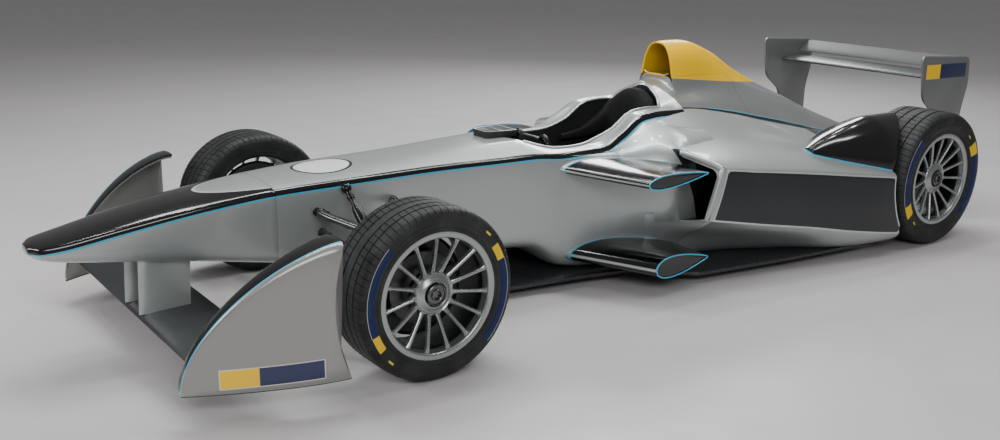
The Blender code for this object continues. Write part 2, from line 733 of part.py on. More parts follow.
def gearbox_loft(grow=0.0):
    rings = []
    for x, half, low, high in GEARBOX_SECTIONS:
        side = half + grow
        inner = half - GEARBOX_CHAMFER
        bottom = low - grow
        top = high + grow
        rings.append([
            (x, -inner, bottom), (x, inner, bottom), (x, side, low + GEARBOX_CHAMFER),
            (x, side, high - GEARBOX_CHAMFER), (x, inner, top), (x, -inner, top),
            (x, -side, high - GEARBOX_CHAMFER), (x, -side, low + GEARBOX_CHAMFER),
        ])
    return loft(rings)


def build_gearbox():
    """Motor and gearbox casing, with the rear crash structure behind it."""
    return add_object("gearbox", gearbox_loft(), CASING)


def endplate_y(x):
    """Plan line of a front endplate's outer face."""
    share = (x - ENDPLATE_REAR_X) / (ENDPLATE_FRONT_X - ENDPLATE_REAR_X)
    return CAR_WIDTH / 2 - ENDPLATE_TOE_IN * max(share, 0.0) ** 1.5


def endplate_top_z(x):
    """Height of a front endplate's outline, a quarter of a superellipse."""
    span = ENDPLATE_FRONT_X - ENDPLATE_REAR_X
    share = min(max((ENDPLATE_FRONT_X - x) / span, 0.0), 1.0)
    rise = (1.0 - (1.0 - share) ** 1.6) ** (1.0 / 1.6)
    return between(ENDPLATE_LOW_Z + ENDPLATE_TIP_HEIGHT, ENDPLATE_HIGH_Z, rise)


# Distances of an endplate's sections behind its front edge.
ENDPLATE_STATIONS = (0.0, 0.021, 0.053, 0.107, 0.181, 0.266, 0.362, 0.442)
ENDPLATE_ARCH_RADIUS = 0.624
ENDPLATE_ARCH_X = 1.113
ENDPLATE_ARCH_Z = 0.360
SHELF_WIDTH_FRONT = 0.03
SHELF_WIDTH_REAR = 0.135


def endplate_rear_x(z):
    """The rear edge of a front endplate, an arc round the tyre."""
    return ENDPLATE_ARCH_X + math.sqrt(ENDPLATE_ARCH_RADIUS ** 2 - (z - ENDPLATE_ARCH_Z) ** 2)


def endplate_inner_y(x):
    """Plan line of an endplate's inner face, straight between its sections."""
    stations = [ENDPLATE_FRONT_X - back for back in ENDPLATE_STATIONS]
    for first, second in zip(stations, stations[1:]):
        if first >= x >= second:
            share = (first - x) / (first - second)
            return between(endplate_y(first), endplate_y(second), share) - ENDPLATE_SKIN
    return endplate_y(x) - ENDPLATE_SKIN


def build_endplate(name):
    """A front endplate: an outer skin that turns inwards as a broad top band."""
    rings = []
    low = ENDPLATE_LOW_Z
    span = ENDPLATE_FRONT_X - ENDPLATE_REAR_X
    for back in ENDPLATE_STATIONS + (span,):
        x = ENDPLATE_FRONT_X - back
        y = endplate_y(x)
        top = endplate_top_z(x)
        shelf = between(SHELF_WIDTH_FRONT, SHELF_WIDTH_REAR, back / span)
        under = max(top - ENDPLATE_SKIN, low + ENDPLATE_EDGE_DROP)
        inner = y - ENDPLATE_SKIN
        waist = between(low, top, 0.3)
        chest = between(low, top, 0.6)
        ring = (
            (inner, low), (y, low), (y, waist), (y, chest), (y, top - ENDPLATE_EDGE_DROP),
            (y - ENDPLATE_EDGE_WIDTH, top), (y - shelf, top - ENDPLATE_SHELF_DROP),
            (y - shelf, under - ENDPLATE_SHELF_DROP), (inner, under),
            (inner, min(chest, under - ENDPLATE_SHELF_DROP)), (inner, waist),
        )
        last = back == span
        rings.append([(endplate_rear_x(z) if last else x, y, z) for y, z in ring])
    return add_object(name, loft(rings), SILVER)


def build_front_wing():
    return add_object("front_wing", front_wing_loft(), CARBON)


REAR_MAIN = dict(leading_x=-2.185, z=0.800, chord=0.175, thickness=0.026, incidence=8.0)
REAR_FLAP = dict(leading_x=-2.335, z=0.846, chord=0.115, thickness=0.018, incidence=32.0)
REAR_BEAM = dict(leading_x=-2.255, z=0.388, chord=0.150, thickness=0.040, incidence=0.0)
# Side view of a rear endplate: x, z.
REAR_ENDPLATE_OUTLINE = (
    (-2.010, 0.940), (-2.470, 0.912), (-2.485, 0.760), (-2.440, 0.600), (-2.440, 0.300),
    (-2.220, 0.220), (-2.180, 0.600), (-2.050, 0.700),
)


def rear_wing_element(name, section):
    points = wing_section(**section)
    half = REAR_WING_HALF_SPAN - SEAT_GAP
    return add_object(name, loft([[(x, y, z) for x, z in points] for y in (-half, half)]), CASING)


def build_rear_beam():
    """The low beam that carries both rear endplates and lies over the crash structure."""
    beam = rear_wing_element("rear_wing_beam", REAR_BEAM)
    cut(beam, gearbox_loft(SEAT_GAP))
    return beam


def build_rear_endplate(name):
    inner = REAR_WING_HALF_SPAN
    shape = prism(REAR_ENDPLATE_OUTLINE, inner, inner + REAR_ENDPLATE_THICKNESS, "Y")
    return add_object(name, shape, SILVER)


# Winglets on the flanks: y, leading x, z, chord and thickness, from root to tip.
UPPER_WINGLET = (
    (0.200, 0.335, 0.550, 0.530, 0.085),
    (0.340, 0.284, 0.546, 0.490, 0.068),
    (0.520, 0.204, 0.538, 0.425, 0.062),
    (0.700, 0.126, 0.532, 0.360, 0.060),
)
LOWER_WINGLET = (
    (0.200, 0.325, 0.150, 0.560, 0.110),
    (0.340, 0.250, 0.148, 0.500, 0.104),
    (0.520, 0.152, 0.142, 0.410, 0.098),
    (0.700, 0.056, 0.135, 0.320, 0.095),
)
WINGLET_INCIDENCE = 2.0


def build_winglet(name, rows):
    rings = []
    for y, *section in rows:
        points = wing_section(*section, incidence=WINGLET_INCIDENCE)
        rings.append([(x, y, height) for x, height in points])
    piece = add_object(name, loft(rings), BLACK_GLOSS)
    cut(piece, body_loft(0.7, TUB_END_X, SEAT_GAP))
    cut(piece, pod_chin(SEAT_GAP))
    return piece


def build_upper_winglet(name):
    return build_winglet(name, UPPER_WINGLET)


def build_lower_winglet(name):
    return build_winglet(name, LOWER_WINGLET)


HEADREST_LOW_Z = 0.58
HEADREST_TOP_Z = 0.812
# Plan of half the collar: x, y.
HEADREST_PLAN = (
    (-0.4297, 0.139), (-0.2803, 0.1665), (-0.06, 0.1705), (-0.05, 0.120), (-0.26, 0.105),
    (-0.33, 0.060), (-0.34, 0.0),
)
# Side view of the space above the collar: x, z.
HEADREST_SLOPE = (
    (-0.60, 0.835), (-0.395, HEADREST_TOP_Z), (-0.305, 0.770), (-0.215, 0.672), (0.10, 0.610),
    (0.10, SPACE_TOP_Z),
)


def build_headrest():
    """The padded collar round the driver's head."""
    plan = list(HEADREST_PLAN) + [(x, -y) for x, y in reversed(HEADREST_PLAN[:-1])]
    shape = prism(plan, HEADREST_LOW_Z, HEADREST_TOP_Z, "Z")
    piece = add_object("headrest", shape, PADDING)
    cut(piece, prism(HEADREST_SLOPE, -SPACE_HALF_WIDTH, SPACE_HALF_WIDTH, "Y"))
    return piece


# Seat shell: x, half width, underside z, side top z.
SEAT_SECTIONS = (
    (0.30, 0.150, 0.2303, 0.330),
    (0.20, 0.150, 0.1723, 0.270),
    (0.10, 0.150, 0.1383, 0.220),
    (0.02, 0.150, 0.1303, 0.200),
    (-0.10, 0.155, 0.1303, 0.200),
    (-0.30, 0.155, 0.2200, 0.330),
    (-0.42, 0.130, 0.3800, 0.560),
)


def build_seat():
    """The driver's moulded seat shell."""
    rings = []
    for x, half, low, high in SEAT_SECTIONS:
        rings.append([
            (x, -half, low), (x, half, low), (x, half, high), (x, half * 0.7, low + 0.02),
            (x, -half * 0.7, low + 0.02), (x, -half, high),
        ])
    return add_object("seat", loft(rings), CARBON)


DASH_X = 0.40
DASH_THICKNESS = 0.03
DASH_LOW_Z = 0.50
COWL_LOW_Z = 0.6803
COWL_THICKNESS = 0.026
# Plan of half the cowl: x, y.
COWL_PLAN = ((0.555, 0.035), (0.520, 0.062), (0.360, 0.092))


def build_dash():
    """The dash bulkhead that carries the steering column, with the cowl over it."""
    plan = []
    for x in (DASH_X + DASH_THICKNESS, COCKPIT_SECTIONS[1][0], DASH_X):
        plan.append((x, look_up(COCKPIT_SECTIONS, x, 1) - 2.0 * SEAT_GAP))
    plan += [(x, -y) for x, y in reversed(plan)]
    dash = add_object("dashboard", prism(plan, DASH_LOW_Z, COWL_LOW_Z + 0.01, "Z"), CARBON)
    outline = list(COWL_PLAN) + [(x, -y) for x, y in reversed(COWL_PLAN)]
    join(dash, prism(outline, COWL_LOW_Z, COWL_LOW_Z + COWL_THICKNESS, "Z"))
    return dash


GRIP_RADIUS = 0.016
# Points of the plate and of one grip about the column: y, z.
WHEEL_PLATE = (
    (-0.085, -0.055), (-0.085, 0.050), (0.085, 0.050), (0.085, -0.055),
)
GRIP_PATH = (
    (0.075, 0.045), (0.100, 0.055), (0.125, 0.030), (0.125, -0.035), (0.100, -0.060),
    (0.075, -0.050),
)


def build_steering_wheel():
    """The driver's wheel: a plate with two grips, on its column."""
    x, z = STEERING_WHEEL_X, STEERING_WHEEL_Z
    outline = [(y, z + dz) for y, dz in WHEEL_PLATE]
    wheel = add_object("steering_wheel", prism(outline, x - 0.012, x + 0.012, "X"), CARBON)
    for side in (1, -1):
        bar = [(x, side * y, z + dz) for y, dz in GRIP_PATH]
        join(wheel, tube(bar, GRIP_RADIUS, 8))
    join(wheel, cylinder((x, 0.0, z), (DASH_X - SEAT_GAP, 0.0, z), 0.018, 12))
    set_pivot(wheel, (x, 0.0, z))
    return wheel


def tube(points, radius, segments):
    """A round bar bent through points that lie in one plane of constant x."""
    rings = []
    path = [Vector(point) for point in points]
    forward = Vector((1.0, 0.0, 0.0))
    for i, centre in enumerate(path):
        ahead = path[min(i + 1, len(path) - 1)]
        behind = path[max(i - 1, 0)]
        across = (ahead - behind).cross(forward).normalized()
        ring = []
        for k in range(segments):
            angle = 2.0 * math.pi * k / segments
            offset = math.cos(angle) * across + math.sin(angle) * forward
            ring.append(centre + radius * offset)
        rings.append(ring)
    return loft(rings)


def arm_leg(start, end, chord, thickness):
    """A streamlined bar whose ends lie flat in planes of constant y."""
    rings = []
    for x, y, z in (start, end):
        rings.append([
            (x + chord * 0.5, y, z), (x + chord * 0.15, y, z + thickness / 2), (x - chord * 0.5, y, z),
            (x + chord * 0.15, y, z - thickness / 2),
        ])
    return loft(rings)


ARM_CHORD = 0.038
ARM_THICKNESS = 0.014
BALL_RADIUS = 0.024
BALL_HEIGHT = 0.030


def front_wishbone(name, inner_z, legs_x, outer_z):
    """A two legged arm with an upright boss at its outer end."""
    boss_low = (FRONT_AXLE_X, KINGPIN_Y, outer_z - BALL_HEIGHT / 2)
    boss_high = (FRONT_AXLE_X, KINGPIN_Y, outer_z + BALL_HEIGHT / 2)
    arm = add_object(name, cylinder(boss_low, boss_high, BALL_RADIUS, 12), DARK_METAL)
    for dx in legs_x:
        start = (FRONT_AXLE_X + dx, SUSPENSION_LUG_Y + SEAT_GAP, inner_z)
        end = (FRONT_AXLE_X + dx * 0.02, KINGPIN_Y, outer_z)
        join(arm, arm_leg(start, end, ARM_CHORD, ARM_THICKNESS))
    return arm


def build_front_upper_arm(name):
    outer_z = KINGPIN_HIGH_Z + SEAT_GAP + BALL_HEIGHT / 2
    return front_wishbone(name, UPPER_ARM_INNER_Z, UPPER_ARM_LEGS_X, outer_z)


def build_front_lower_arm(name):
    """The lower arm, with the pushrod that stands on it."""
    outer_z = KINGPIN_LOW_Z - SEAT_GAP - BALL_HEIGHT / 2
    arm = front_wishbone(name, LOWER_ARM_INNER_Z, LOWER_ARM_LEGS_X, outer_z)
    foot = (FRONT_AXLE_X, KINGPIN_Y - 0.015, outer_z - 0.004)
    head = (FRONT_AXLE_X, SUSPENSION_LUG_Y + SEAT_GAP, PUSHROD_INNER_Z)
    join(arm, arm_leg(foot, head, 0.026, 0.020))
    return arm


def build_knuckle(name):
    """The front upright: it turns about the kingpin and carries the wheel's stub axle."""
    x, z = FRONT_AXLE_X, FRONT_AXLE_Z
    low = (x, KINGPIN_Y, KINGPIN_LOW_Z)
    high = (x, KINGPIN_Y, KINGPIN_HIGH_Z)
    knuckle = add_object(name, cylinder(low, high, KINGPIN_RADIUS, 12), DARK_METAL)
    stub_face = FRONT_HUB_FACE_Y - SEAT_GAP
    join(knuckle, cylinder((x, KINGPIN_Y - 0.004, z), (x, stub_face, z), 0.045, 14))
    join(knuckle, cylinder((x, KINGPIN_Y, z), (x, stub_face + HUB_BORE_DEPTH - 0.006, z), STUB_RADIUS, 12))
    arm_top = RACK_Z - TRACK_ROD_RADIUS - SLIDE_GAP
    arm_low = arm_top - STEERING_ARM_THICKNESS
    tip_x = x + STEERING_ARM_LENGTH
    tip_y = KINGPIN_Y - STEERING_ARM_INSET
    half = STEERING_ARM_WIDTH / 2
    outline = (
        (x - 0.012, KINGPIN_Y - half), (tip_x, tip_y - half), (tip_x + half, tip_y),
        (tip_x, tip_y + half), (x - 0.012, KINGPIN_Y + half),
    )
    join(knuckle, prism(outline, arm_low, arm_top, "Z"))
    set_pivot(knuckle, (x, KINGPIN_Y, z))
    return knuckle


def build_rack():
    """The steering rack, with both track rods and their eyes."""
    x = FRONT_AXLE_X + STEERING_ARM_LENGTH
    reach = KINGPIN_Y - STEERING_ARM_INSET
    rod = cylinder((x, -reach, RACK_Z), (x, reach, RACK_Z), TRACK_ROD_RADIUS, 12)
    rack = add_object("steering_rack", rod, DARK_METAL)
    for side in (1, -1):
        low = (x, side * reach, RACK_Z - TRACK_ROD_RADIUS)
        high = (x, side * reach, RACK_Z + TRACK_ROD_RADIUS)
        join(rack, cylinder(low, high, 0.015, 12))
    set_pivot(rack, (x, 0.0, RACK_Z))
    return rack


FRONT_HUB_FACE_Y = KINGPIN_Y + 0.038
REAR_UPRIGHT_OUTER_Y = CAR_WIDTH / 2 - 0.240
REAR_UPRIGHT_INNER_Y = REAR_UPRIGHT_OUTER_Y - 0.060
REAR_UPRIGHT_BORE = 0.026
DRIVESHAFT_RADIUS = 0.020
REAR_UPPER_Z = REAR_AXLE_Z + 0.1495
REAR_LOWER_Z = REAR_AXLE_Z - 0.1505
# Legs of the rear arms: inner end's x from the axle, inner z, outer z.
REAR_ARM_LEGS = (
    (0.20, 0.345, REAR_UPPER_Z),
    (-0.20, 0.345, REAR_UPPER_Z),
    (0.22, 0.290, REAR_LOWER_Z),
    (-0.18, 0.290, REAR_LOWER_Z),
)


def build_rear_suspension(name):
    """One rear corner: the upright, its two arms and its pushrod."""
    x, z = REAR_AXLE_X, REAR_AXLE_Z
    inner, outer = REAR_UPRIGHT_INNER_Y, REAR_UPRIGHT_OUTER_Y
    profile = ((REAR_UPRIGHT_BORE, inner), (0.060, inner), (0.060, outer), (REAR_UPRIGHT_BORE, outer))
    corner = add_object(name, turned(profile, 16, (x, 0.0, z)), DARK_METAL)
    half = 0.030
    join(
        corner,
        box((x - half, inner, z + 0.040), (x + half, outer - 0.01, REAR_UPPER_Z + 0.02)),
        box((x - half, inner, REAR_LOWER_Z - 0.02), (x + half, outer - 0.01, z - 0.040)),
    )
    for dx, inner_z, outer_z in REAR_ARM_LEGS:
        start = (x + dx, GEARBOX_HALF_WIDTH + SEAT_GAP, inner_z)
        end = (x + dx * 0.03, inner + 0.02, outer_z)
        join(corner, arm_leg(start, end, ARM_CHORD, ARM_THICKNESS))
    return corner


def tyre_profile(diameter, width, centre_y):
    """Half a toroid: tread, shoulders, side walls and beads, open towards the rim."""
    tread = diameter / 2
    bead = BEAD_DIAMETER / 2 + SEAT_GAP
    half = width / 2
    seat = half * BEAD_SHARE
    outer = [
        (bead, seat), (bead + RIM_FLANGE + 0.004, seat), (between(bead, tread, 0.62), half),
        (tread - 0.013, half * 0.95), (tread - 0.002, half * 0.78),
    ]
    inner = [
        (tread - 0.016, half * 0.60), (between(bead, tread, 0.55), half * 0.90),
        (bead, seat - 0.016),
    ]
    points = [(r, centre_y - y) for r, y in outer]
    points.append((tread, centre_y))
    points += [(r, centre_y + y) for r, y in reversed(outer)]
    points += [(r, centre_y + y) for r, y in reversed(inner)]
    points += [(r, centre_y - y) for r, y in inner]
    return points


def build_tyre(name, axle_x, diameter, width):
    centre_y = CAR_WIDTH / 2 - width / 2
    centre = (axle_x, 0.0, diameter / 2)
    shape = turned(tyre_profile(diameter, width, centre_y), WHEEL_SEGMENTS, centre)
    tyre = add_object(name, shape, RUBBER)
    set_pivot(tyre, (axle_x, centre_y, diameter / 2))
    return tyre


def build_rim(name, axle_x, diameter, width):
    """A light alloy wheel: a barrel, straight slim spokes and a dished centre."""
    centre_y = CAR_WIDTH / 2 - width / 2
    seat = width / 2 * BEAD_SHARE
    bead = BEAD_DIAMETER / 2
    out = centre_y + seat
    inn = centre_y - seat
    centre = (axle_x, 0.0, diameter / 2)
    profile = (
        (bead, out + SEAT_GAP), (bead + RIM_FLANGE, out + SEAT_GAP + 0.002),
        (bead + RIM_FLANGE, out + 0.010), (bead - 0.004, out + 0.010),
        (bead - RIM_WALL, out - 0.02), (bead - RIM_WALL, inn - 0.010),
        (bead + RIM_FLANGE, inn - 0.010), (bead + RIM_FLANGE, inn - SEAT_GAP),
        (bead, inn - SEAT_GAP),
    )
    rim = add_object(name, turned(profile, WHEEL_SEGMENTS, centre), WHEEL_METAL)
    face = out - RIM_DISH
    hole = HUB_RADIUS + SEAT_GAP
    disc = (
        (hole, face - RIM_CENTRE_THICKNESS), (RIM_CENTRE_RADIUS, face - RIM_CENTRE_THICKNESS),
        (RIM_CENTRE_RADIUS, face - 0.004), (RIM_CENTRE_RADIUS - 0.014, face), (hole, face),
    )
    half = SPOKE_WIDTH / 2
    section = (
        (-half, -SPOKE_DEPTH), (half, -SPOKE_DEPTH), (half * 0.6, 0.0), (-half * 0.6, 0.0),
    )
    ends = ((RIM_CENTRE_RADIUS - 0.006, face - 0.002), (bead - RIM_WALL + 0.005, out - 0.004))
    spokes = bmesh.new()
    for i in range(SPOKE_COUNT):
        angle = 2.0 * math.pi * (i + 0.5) / SPOKE_COUNT
        place = Matrix.Translation(centre) @ Matrix.Rotation(angle, 4, "Y")
        spoke = loft([
            [place @ Vector((dx, y + dy, radius)) for dx, dy in section] for radius, y in ends
        ])
        part = bpy.data.meshes.new("spoke")
        spoke.to_mesh(part)
        spoke.free()
        spokes.from_mesh(part)
        bpy.data.meshes.remove(part)
    join(rim, spokes, turned(disc, HUB_SEGMENTS, centre))
    set_pivot(rim, (axle_x, centre_y, diameter / 2))
    return rim


def hub_profile(face_y, width):
    """The turning hub for a wheel of this width: brake disc, spigot and centre lock nut."""
    rim_face = CAR_WIDTH / 2 - width / 2 * (1.0 - BEAD_SHARE) - RIM_DISH
    seat = rim_face - RIM_CENTRE_THICKNESS - SEAT_GAP
    disc_in = face_y + DISC_OFFSET
    disc_out = disc_in + DISC_THICKNESS
    nut_in = rim_face + SEAT_GAP
    nut_out = rim_face + NUT_LENGTH
    recess = nut_out - NUT_RECESS_DEPTH
    return [
        (HUB_RADIUS + 0.014, face_y), (DISC_RADIUS * 0.62, disc_in), (DISC_RADIUS, disc_in),
        (DISC_RADIUS, disc_out), (DISC_RADIUS * 0.55, disc_out), (0.060, seat),
        (HUB_RADIUS, seat), (HUB_RADIUS, nut_in), (NUT_RADIUS, nut_in),
        (NUT_RADIUS * 0.86, nut_out), (NUT_RECESS_RADIUS, nut_out),
        (NUT_RECESS_RADIUS, recess), (0.0, recess),
    ]


def build_hub(name, start, face_y, axle_x, diameter, width):
    centre = (axle_x, 0.0, diameter / 2)
    profile = start + hub_profile(face_y, width)
    hub = add_object(name, turned(profile, HUB_SEGMENTS, centre), DISC_METAL)
    set_pivot(hub, (axle_x, CAR_WIDTH / 2 - width / 2, diameter / 2))
    return hub


def build_front_hub(name):
    face = FRONT_HUB_FACE_Y
    floor = face + HUB_BORE_DEPTH
    start = [(0.0, floor), (HUB_BORE_RADIUS, floor), (HUB_BORE_RADIUS, face)]
    return build_hub(name, start, face, FRONT_AXLE_X, FRONT_TYRE_DIAMETER, FRONT_TYRE_WIDTH)


def build_rear_hub(name):
    """The rear hub, with the driveshaft that turns it."""
    face = REAR_UPRIGHT_OUTER_Y + SEAT_GAP
    inner = GEARBOX_HALF_WIDTH + SEAT_GAP
    start = [
        (0.0, inner), (0.046, inner), (0.046, inner + 0.050), (DRIVESHAFT_RADIUS, inner + 0.090),
        (DRIVESHAFT_RADIUS, face),
    ]
    return build_hub(name, start, face, REAR_AXLE_X, REAR_TYRE_DIAMETER, REAR_TYRE_WIDTH)


def build_front_tyre(name):
    return build_tyre(name, FRONT_AXLE_X, FRONT_TYRE_DIAMETER, FRONT_TYRE_WIDTH)


def build_rear_tyre(name):
    return build_tyre(name, REAR_AXLE_X, REAR_TYRE_DIAMETER, REAR_TYRE_WIDTH)


def build_front_rim(name):
    return build_rim(name, FRONT_AXLE_X, FRONT_TYRE_DIAMETER, FRONT_TYRE_WIDTH)


def build_rear_rim(name):
    return build_rim(name, REAR_AXLE_X, REAR_TYRE_DIAMETER, REAR_TYRE_WIDTH)


def build_car():
    build_monocoque()
    build_nose()
    build_engine_cover()
    build_airbox()
    build_floor()
    build_battery()
    build_gearbox()
    build_headrest()
    build_seat()
    build_dash()
    build_steering_wheel()
    build_rack()
    build_front_wing()
    rear_wing_element("rear_wing_main", REAR_MAIN)
    rear_wing_element("rear_wing_flap", REAR_FLAP)
    build_rear_beam()
    pairs = {
        "sidepod": build_sidepod,
        "wheel_fairing": build_fairing,
        "upper_winglet": build_upper_winglet,
        "lower_winglet": build_lower_winglet,
        "front_endplate": build_endplate,
        "rear_endplate": build_rear_endplate,
        "front_upper_wishbone": build_front_upper_arm,
        "front_lower_wishbone": build_front_lower_arm,
        "front_knuckle": build_knuckle,
        "rear_suspension": build_rear_suspension,
        "front_tyre": build_front_tyre,
        "rear_tyre": build_rear_tyre,
        "front_rim": build_front_rim,
        "rear_rim": build_rear_rim,
        "front_hub": build_front_hub,
        "rear_hub": build_rear_hub,
    }
    for stem, build in pairs.items():
        make_pair(stem, build)


build_car()
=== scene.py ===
"""The looks of the open wheel racing car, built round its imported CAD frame."""
import json
import math

import bpy
import numpy as np
from mathutils import Matrix, Vector

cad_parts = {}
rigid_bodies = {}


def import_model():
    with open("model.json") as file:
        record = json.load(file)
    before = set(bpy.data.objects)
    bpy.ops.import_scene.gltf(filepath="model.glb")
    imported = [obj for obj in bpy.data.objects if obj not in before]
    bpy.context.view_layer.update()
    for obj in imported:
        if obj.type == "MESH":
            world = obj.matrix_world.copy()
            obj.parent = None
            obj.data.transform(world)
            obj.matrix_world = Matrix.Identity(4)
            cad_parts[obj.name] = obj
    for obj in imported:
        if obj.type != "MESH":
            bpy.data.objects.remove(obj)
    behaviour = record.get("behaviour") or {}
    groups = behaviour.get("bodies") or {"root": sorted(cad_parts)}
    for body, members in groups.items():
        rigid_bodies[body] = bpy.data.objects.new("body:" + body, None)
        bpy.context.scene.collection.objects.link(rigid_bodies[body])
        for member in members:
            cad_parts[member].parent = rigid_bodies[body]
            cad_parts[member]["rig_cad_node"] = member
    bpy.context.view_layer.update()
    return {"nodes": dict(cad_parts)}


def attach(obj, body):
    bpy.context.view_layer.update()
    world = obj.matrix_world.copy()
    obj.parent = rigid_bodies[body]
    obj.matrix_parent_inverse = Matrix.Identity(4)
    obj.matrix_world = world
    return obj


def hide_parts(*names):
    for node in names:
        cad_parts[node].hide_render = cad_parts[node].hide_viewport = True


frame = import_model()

# Sizes that the CAD has too
FRONT_AXLE_X = 1.32
REAR_AXLE_X = -1.78
CAR_WIDTH = 1.80
FRONT_TYRE = dict(axle_x=FRONT_AXLE_X, diameter=0.653, width=0.245)
REAR_TYRE = dict(axle_x=REAR_AXLE_X, diameter=0.701, width=0.305)
BEAD_RADIUS = 0.2286
BEAD_SHARE = 0.86
SPOKE_COUNT = 15
KEEL_Z = 0.0583
SEAT_GAP = 0.0003
NOSE_FRONT_X = 2.4998
NOSE_JOINT_X = 1.62
TUB_END_X = -0.50
REAR_AXLE_Z = REAR_TYRE["diameter"] / 2
POD_END_X = REAR_AXLE_X + 0.33


# Selecting and shaping

def leave_edit():
    bpy.ops.object.mode_set(mode="OBJECT")


def choose_all():
    bpy.ops.mesh.select_all(action="SELECT")


def turn_out():
    """Turn the faces of the mesh outwards and leave edit mode."""
    choose_all()
    bpy.ops.mesh.normals_make_consistent(inside=False)
    leave_edit()


def deselect():
    if bpy.context.object and bpy.context.object.mode != "OBJECT":
        leave_edit()
    bpy.ops.object.select_all(action="DESELECT")


def pick(piece):
    """Make one object the selected and active one."""
    deselect()
    piece.select_set(True)
    bpy.context.view_layer.objects.active = piece


def edit(piece, mode="FACE"):
    pick(piece)
    bpy.ops.object.mode_set(mode="EDIT")
    bpy.ops.mesh.select_mode(type=mode)


def choose_faces(piece, test):
    """Select the faces that pass a test, and stay in edit mode."""
    edit(piece)
    bpy.ops.mesh.select_all(action="DESELECT")
    leave_edit()
    for face in piece.data.polygons:
        face.select = test(face)
    bpy.ops.object.mode_set(mode="EDIT")


def sink_faces(piece, test, rim, *steps):
    """Inset the faces that pass a test by a rim, then by steps of (width, depth)."""
    choose_faces(piece, test)
    bpy.ops.mesh.inset(thickness=rim, depth=0.0)
    for width, depth in steps:
        bpy.ops.mesh.inset(thickness=width, depth=depth)
    leave_edit()


def named(piece, name):
    """Give an object and its mesh a name."""
    piece.name = name
    piece.data.name = name
    return piece


def link(thing):
    bpy.context.scene.collection.objects.link(thing)
    return thing


def close_up(piece):
    """Merge doubles, close the holes and turn the faces outwards."""
    edit(piece, "VERT")
    choose_all()
    bpy.ops.mesh.remove_doubles(threshold=1e-5)
    bpy.ops.mesh.select_all(action="DESELECT")
    bpy.ops.mesh.select_non_manifold(extend=False, use_wire=False, use_multi_face=False,
                                     use_non_contiguous=False, use_verts=False)
    bpy.ops.mesh.edge_face_add()
    turn_out()


def apply(piece, kind, **settings):
    """Add a modifier with its settings and apply it."""
    pick(piece)
    modifier = piece.modifiers.new(kind.lower(), kind)
    for key, value in settings.items():
        setattr(modifier, key, value)
    bpy.ops.object.modifier_apply(modifier=modifier.name)


def smooth(piece, angle):
    pick(piece)
    bpy.ops.object.shade_smooth_by_angle(angle=math.radians(angle))


def round_edges(piece, width, segments, angle=32.0):
    """Bevel the sharp edges and shade the rest smooth."""
    apply(piece, "BEVEL", width=width, segments=segments, limit_method="ANGLE",
          angle_limit=math.radians(angle), use_clamp_overlap=True, harden_normals=False)
    smooth(piece, angle)


def grid_piece(name, rings, closed=True, marks=None, caps=True):
    """A skin through a row of rings of points, shaped from a flat grid.

    marks gives a pair of numbers for every point, which the finish reads from the UV map.
    """
    rows = [list(ring) + ([ring[0]] if closed else []) for ring in rings]
    columns = len(rows[0])
    deselect()
    bpy.ops.mesh.primitive_grid_add(x_subdivisions=columns - 1, y_subdivisions=len(rows) - 1, size=1.0)
    piece = named(bpy.context.object, name)
    points = np.array(rows, float).reshape(-1, 3)
    piece.data.vertices.foreach_set("co", points.ravel())
    if marks is not None:
        pairs = [list(row) + ([row[0]] if closed else []) for row in marks]
        pairs = np.array(pairs, float).reshape(-1, 2)
        index = np.zeros(len(piece.data.loops), int)
        piece.data.loops.foreach_get("vertex_index", index)
        piece.data.uv_layers.active.name = "marks"
        piece.data.uv_layers.active.data.foreach_set("uv", pairs[index].ravel())
    piece.data.update()
    if caps:
        close_up(piece)
    return piece


def turned_piece(name, profile, centre, steps):
    """Spin a closed profile of (radius, y) points round the wheel's axis."""
    deselect()
    bpy.ops.mesh.primitive_circle_add(vertices=len(profile), radius=1.0, location=(0.0, 0.0, 0.0))
    piece = named(bpy.context.object, name)
    for vertex, (radius, y) in zip(piece.data.vertices, profile):
        vertex.co = (centre[0], y, centre[2] + radius)
    edit(piece, "VERT")
    choose_all()
    bpy.ops.mesh.spin(steps=steps, angle=2.0 * math.pi, center=centre, axis=(0.0, 1.0, 0.0))
    choose_all()
    bpy.ops.mesh.remove_doubles(threshold=2e-5)
    turn_out()
    return piece


def block(name, low, high):
    """A cube between two corners, to be shaped further."""
    deselect()
    middle = [(a + b) / 2.0 for a, b in zip(low, high)]
    bpy.ops.mesh.primitive_cube_add(size=1.0, location=middle)
    piece = named(bpy.context.object, name)
    piece.scale = [b - a for a, b in zip(low, high)]
    bpy.ops.object.transform_apply(location=True, rotation=True, scale=True)
    return piece


def flat_plate(name, points):
    """A flat face between points."""
    deselect()
    bpy.ops.mesh.primitive_circle_add(vertices=len(points), radius=1.0, fill_type="NGON")
    piece = named(bpy.context.object, name)
    for vertex, point in zip(piece.data.vertices, points):
        vertex.co = point
    return piece


def thicken(piece, move):
    """Stretch a flat face by a move into a plate."""
    edit(piece)
    choose_all()
    bpy.ops.mesh.extrude_region_move(TRANSFORM_OT_translate={"value": move})
    turn_out()


def lathe(name, start, end, rows, steps):
    """A round bar between two points; rows give (share of the length, radius)."""
    start, end = Vector(start), Vector(end)
    axis = (end - start).normalized()
    side = axis.cross(Vector((0.0, 0.0, 1.0)) if abs(axis.z) < 0.9 else Vector((1.0, 0.0, 0.0))).normalized()
    up = side.cross(axis)
    rings = []
    for share, radius in rows:
        centre = start + (end - start) * share
        angles = [2.0 * math.pi * k / steps for k in range(steps)]
        rings.append([centre + radius * (math.cos(a) * side + math.sin(a) * up) for a in angles])
    piece = grid_piece(name, rings)
    smooth(piece, 35.0)
    return piece


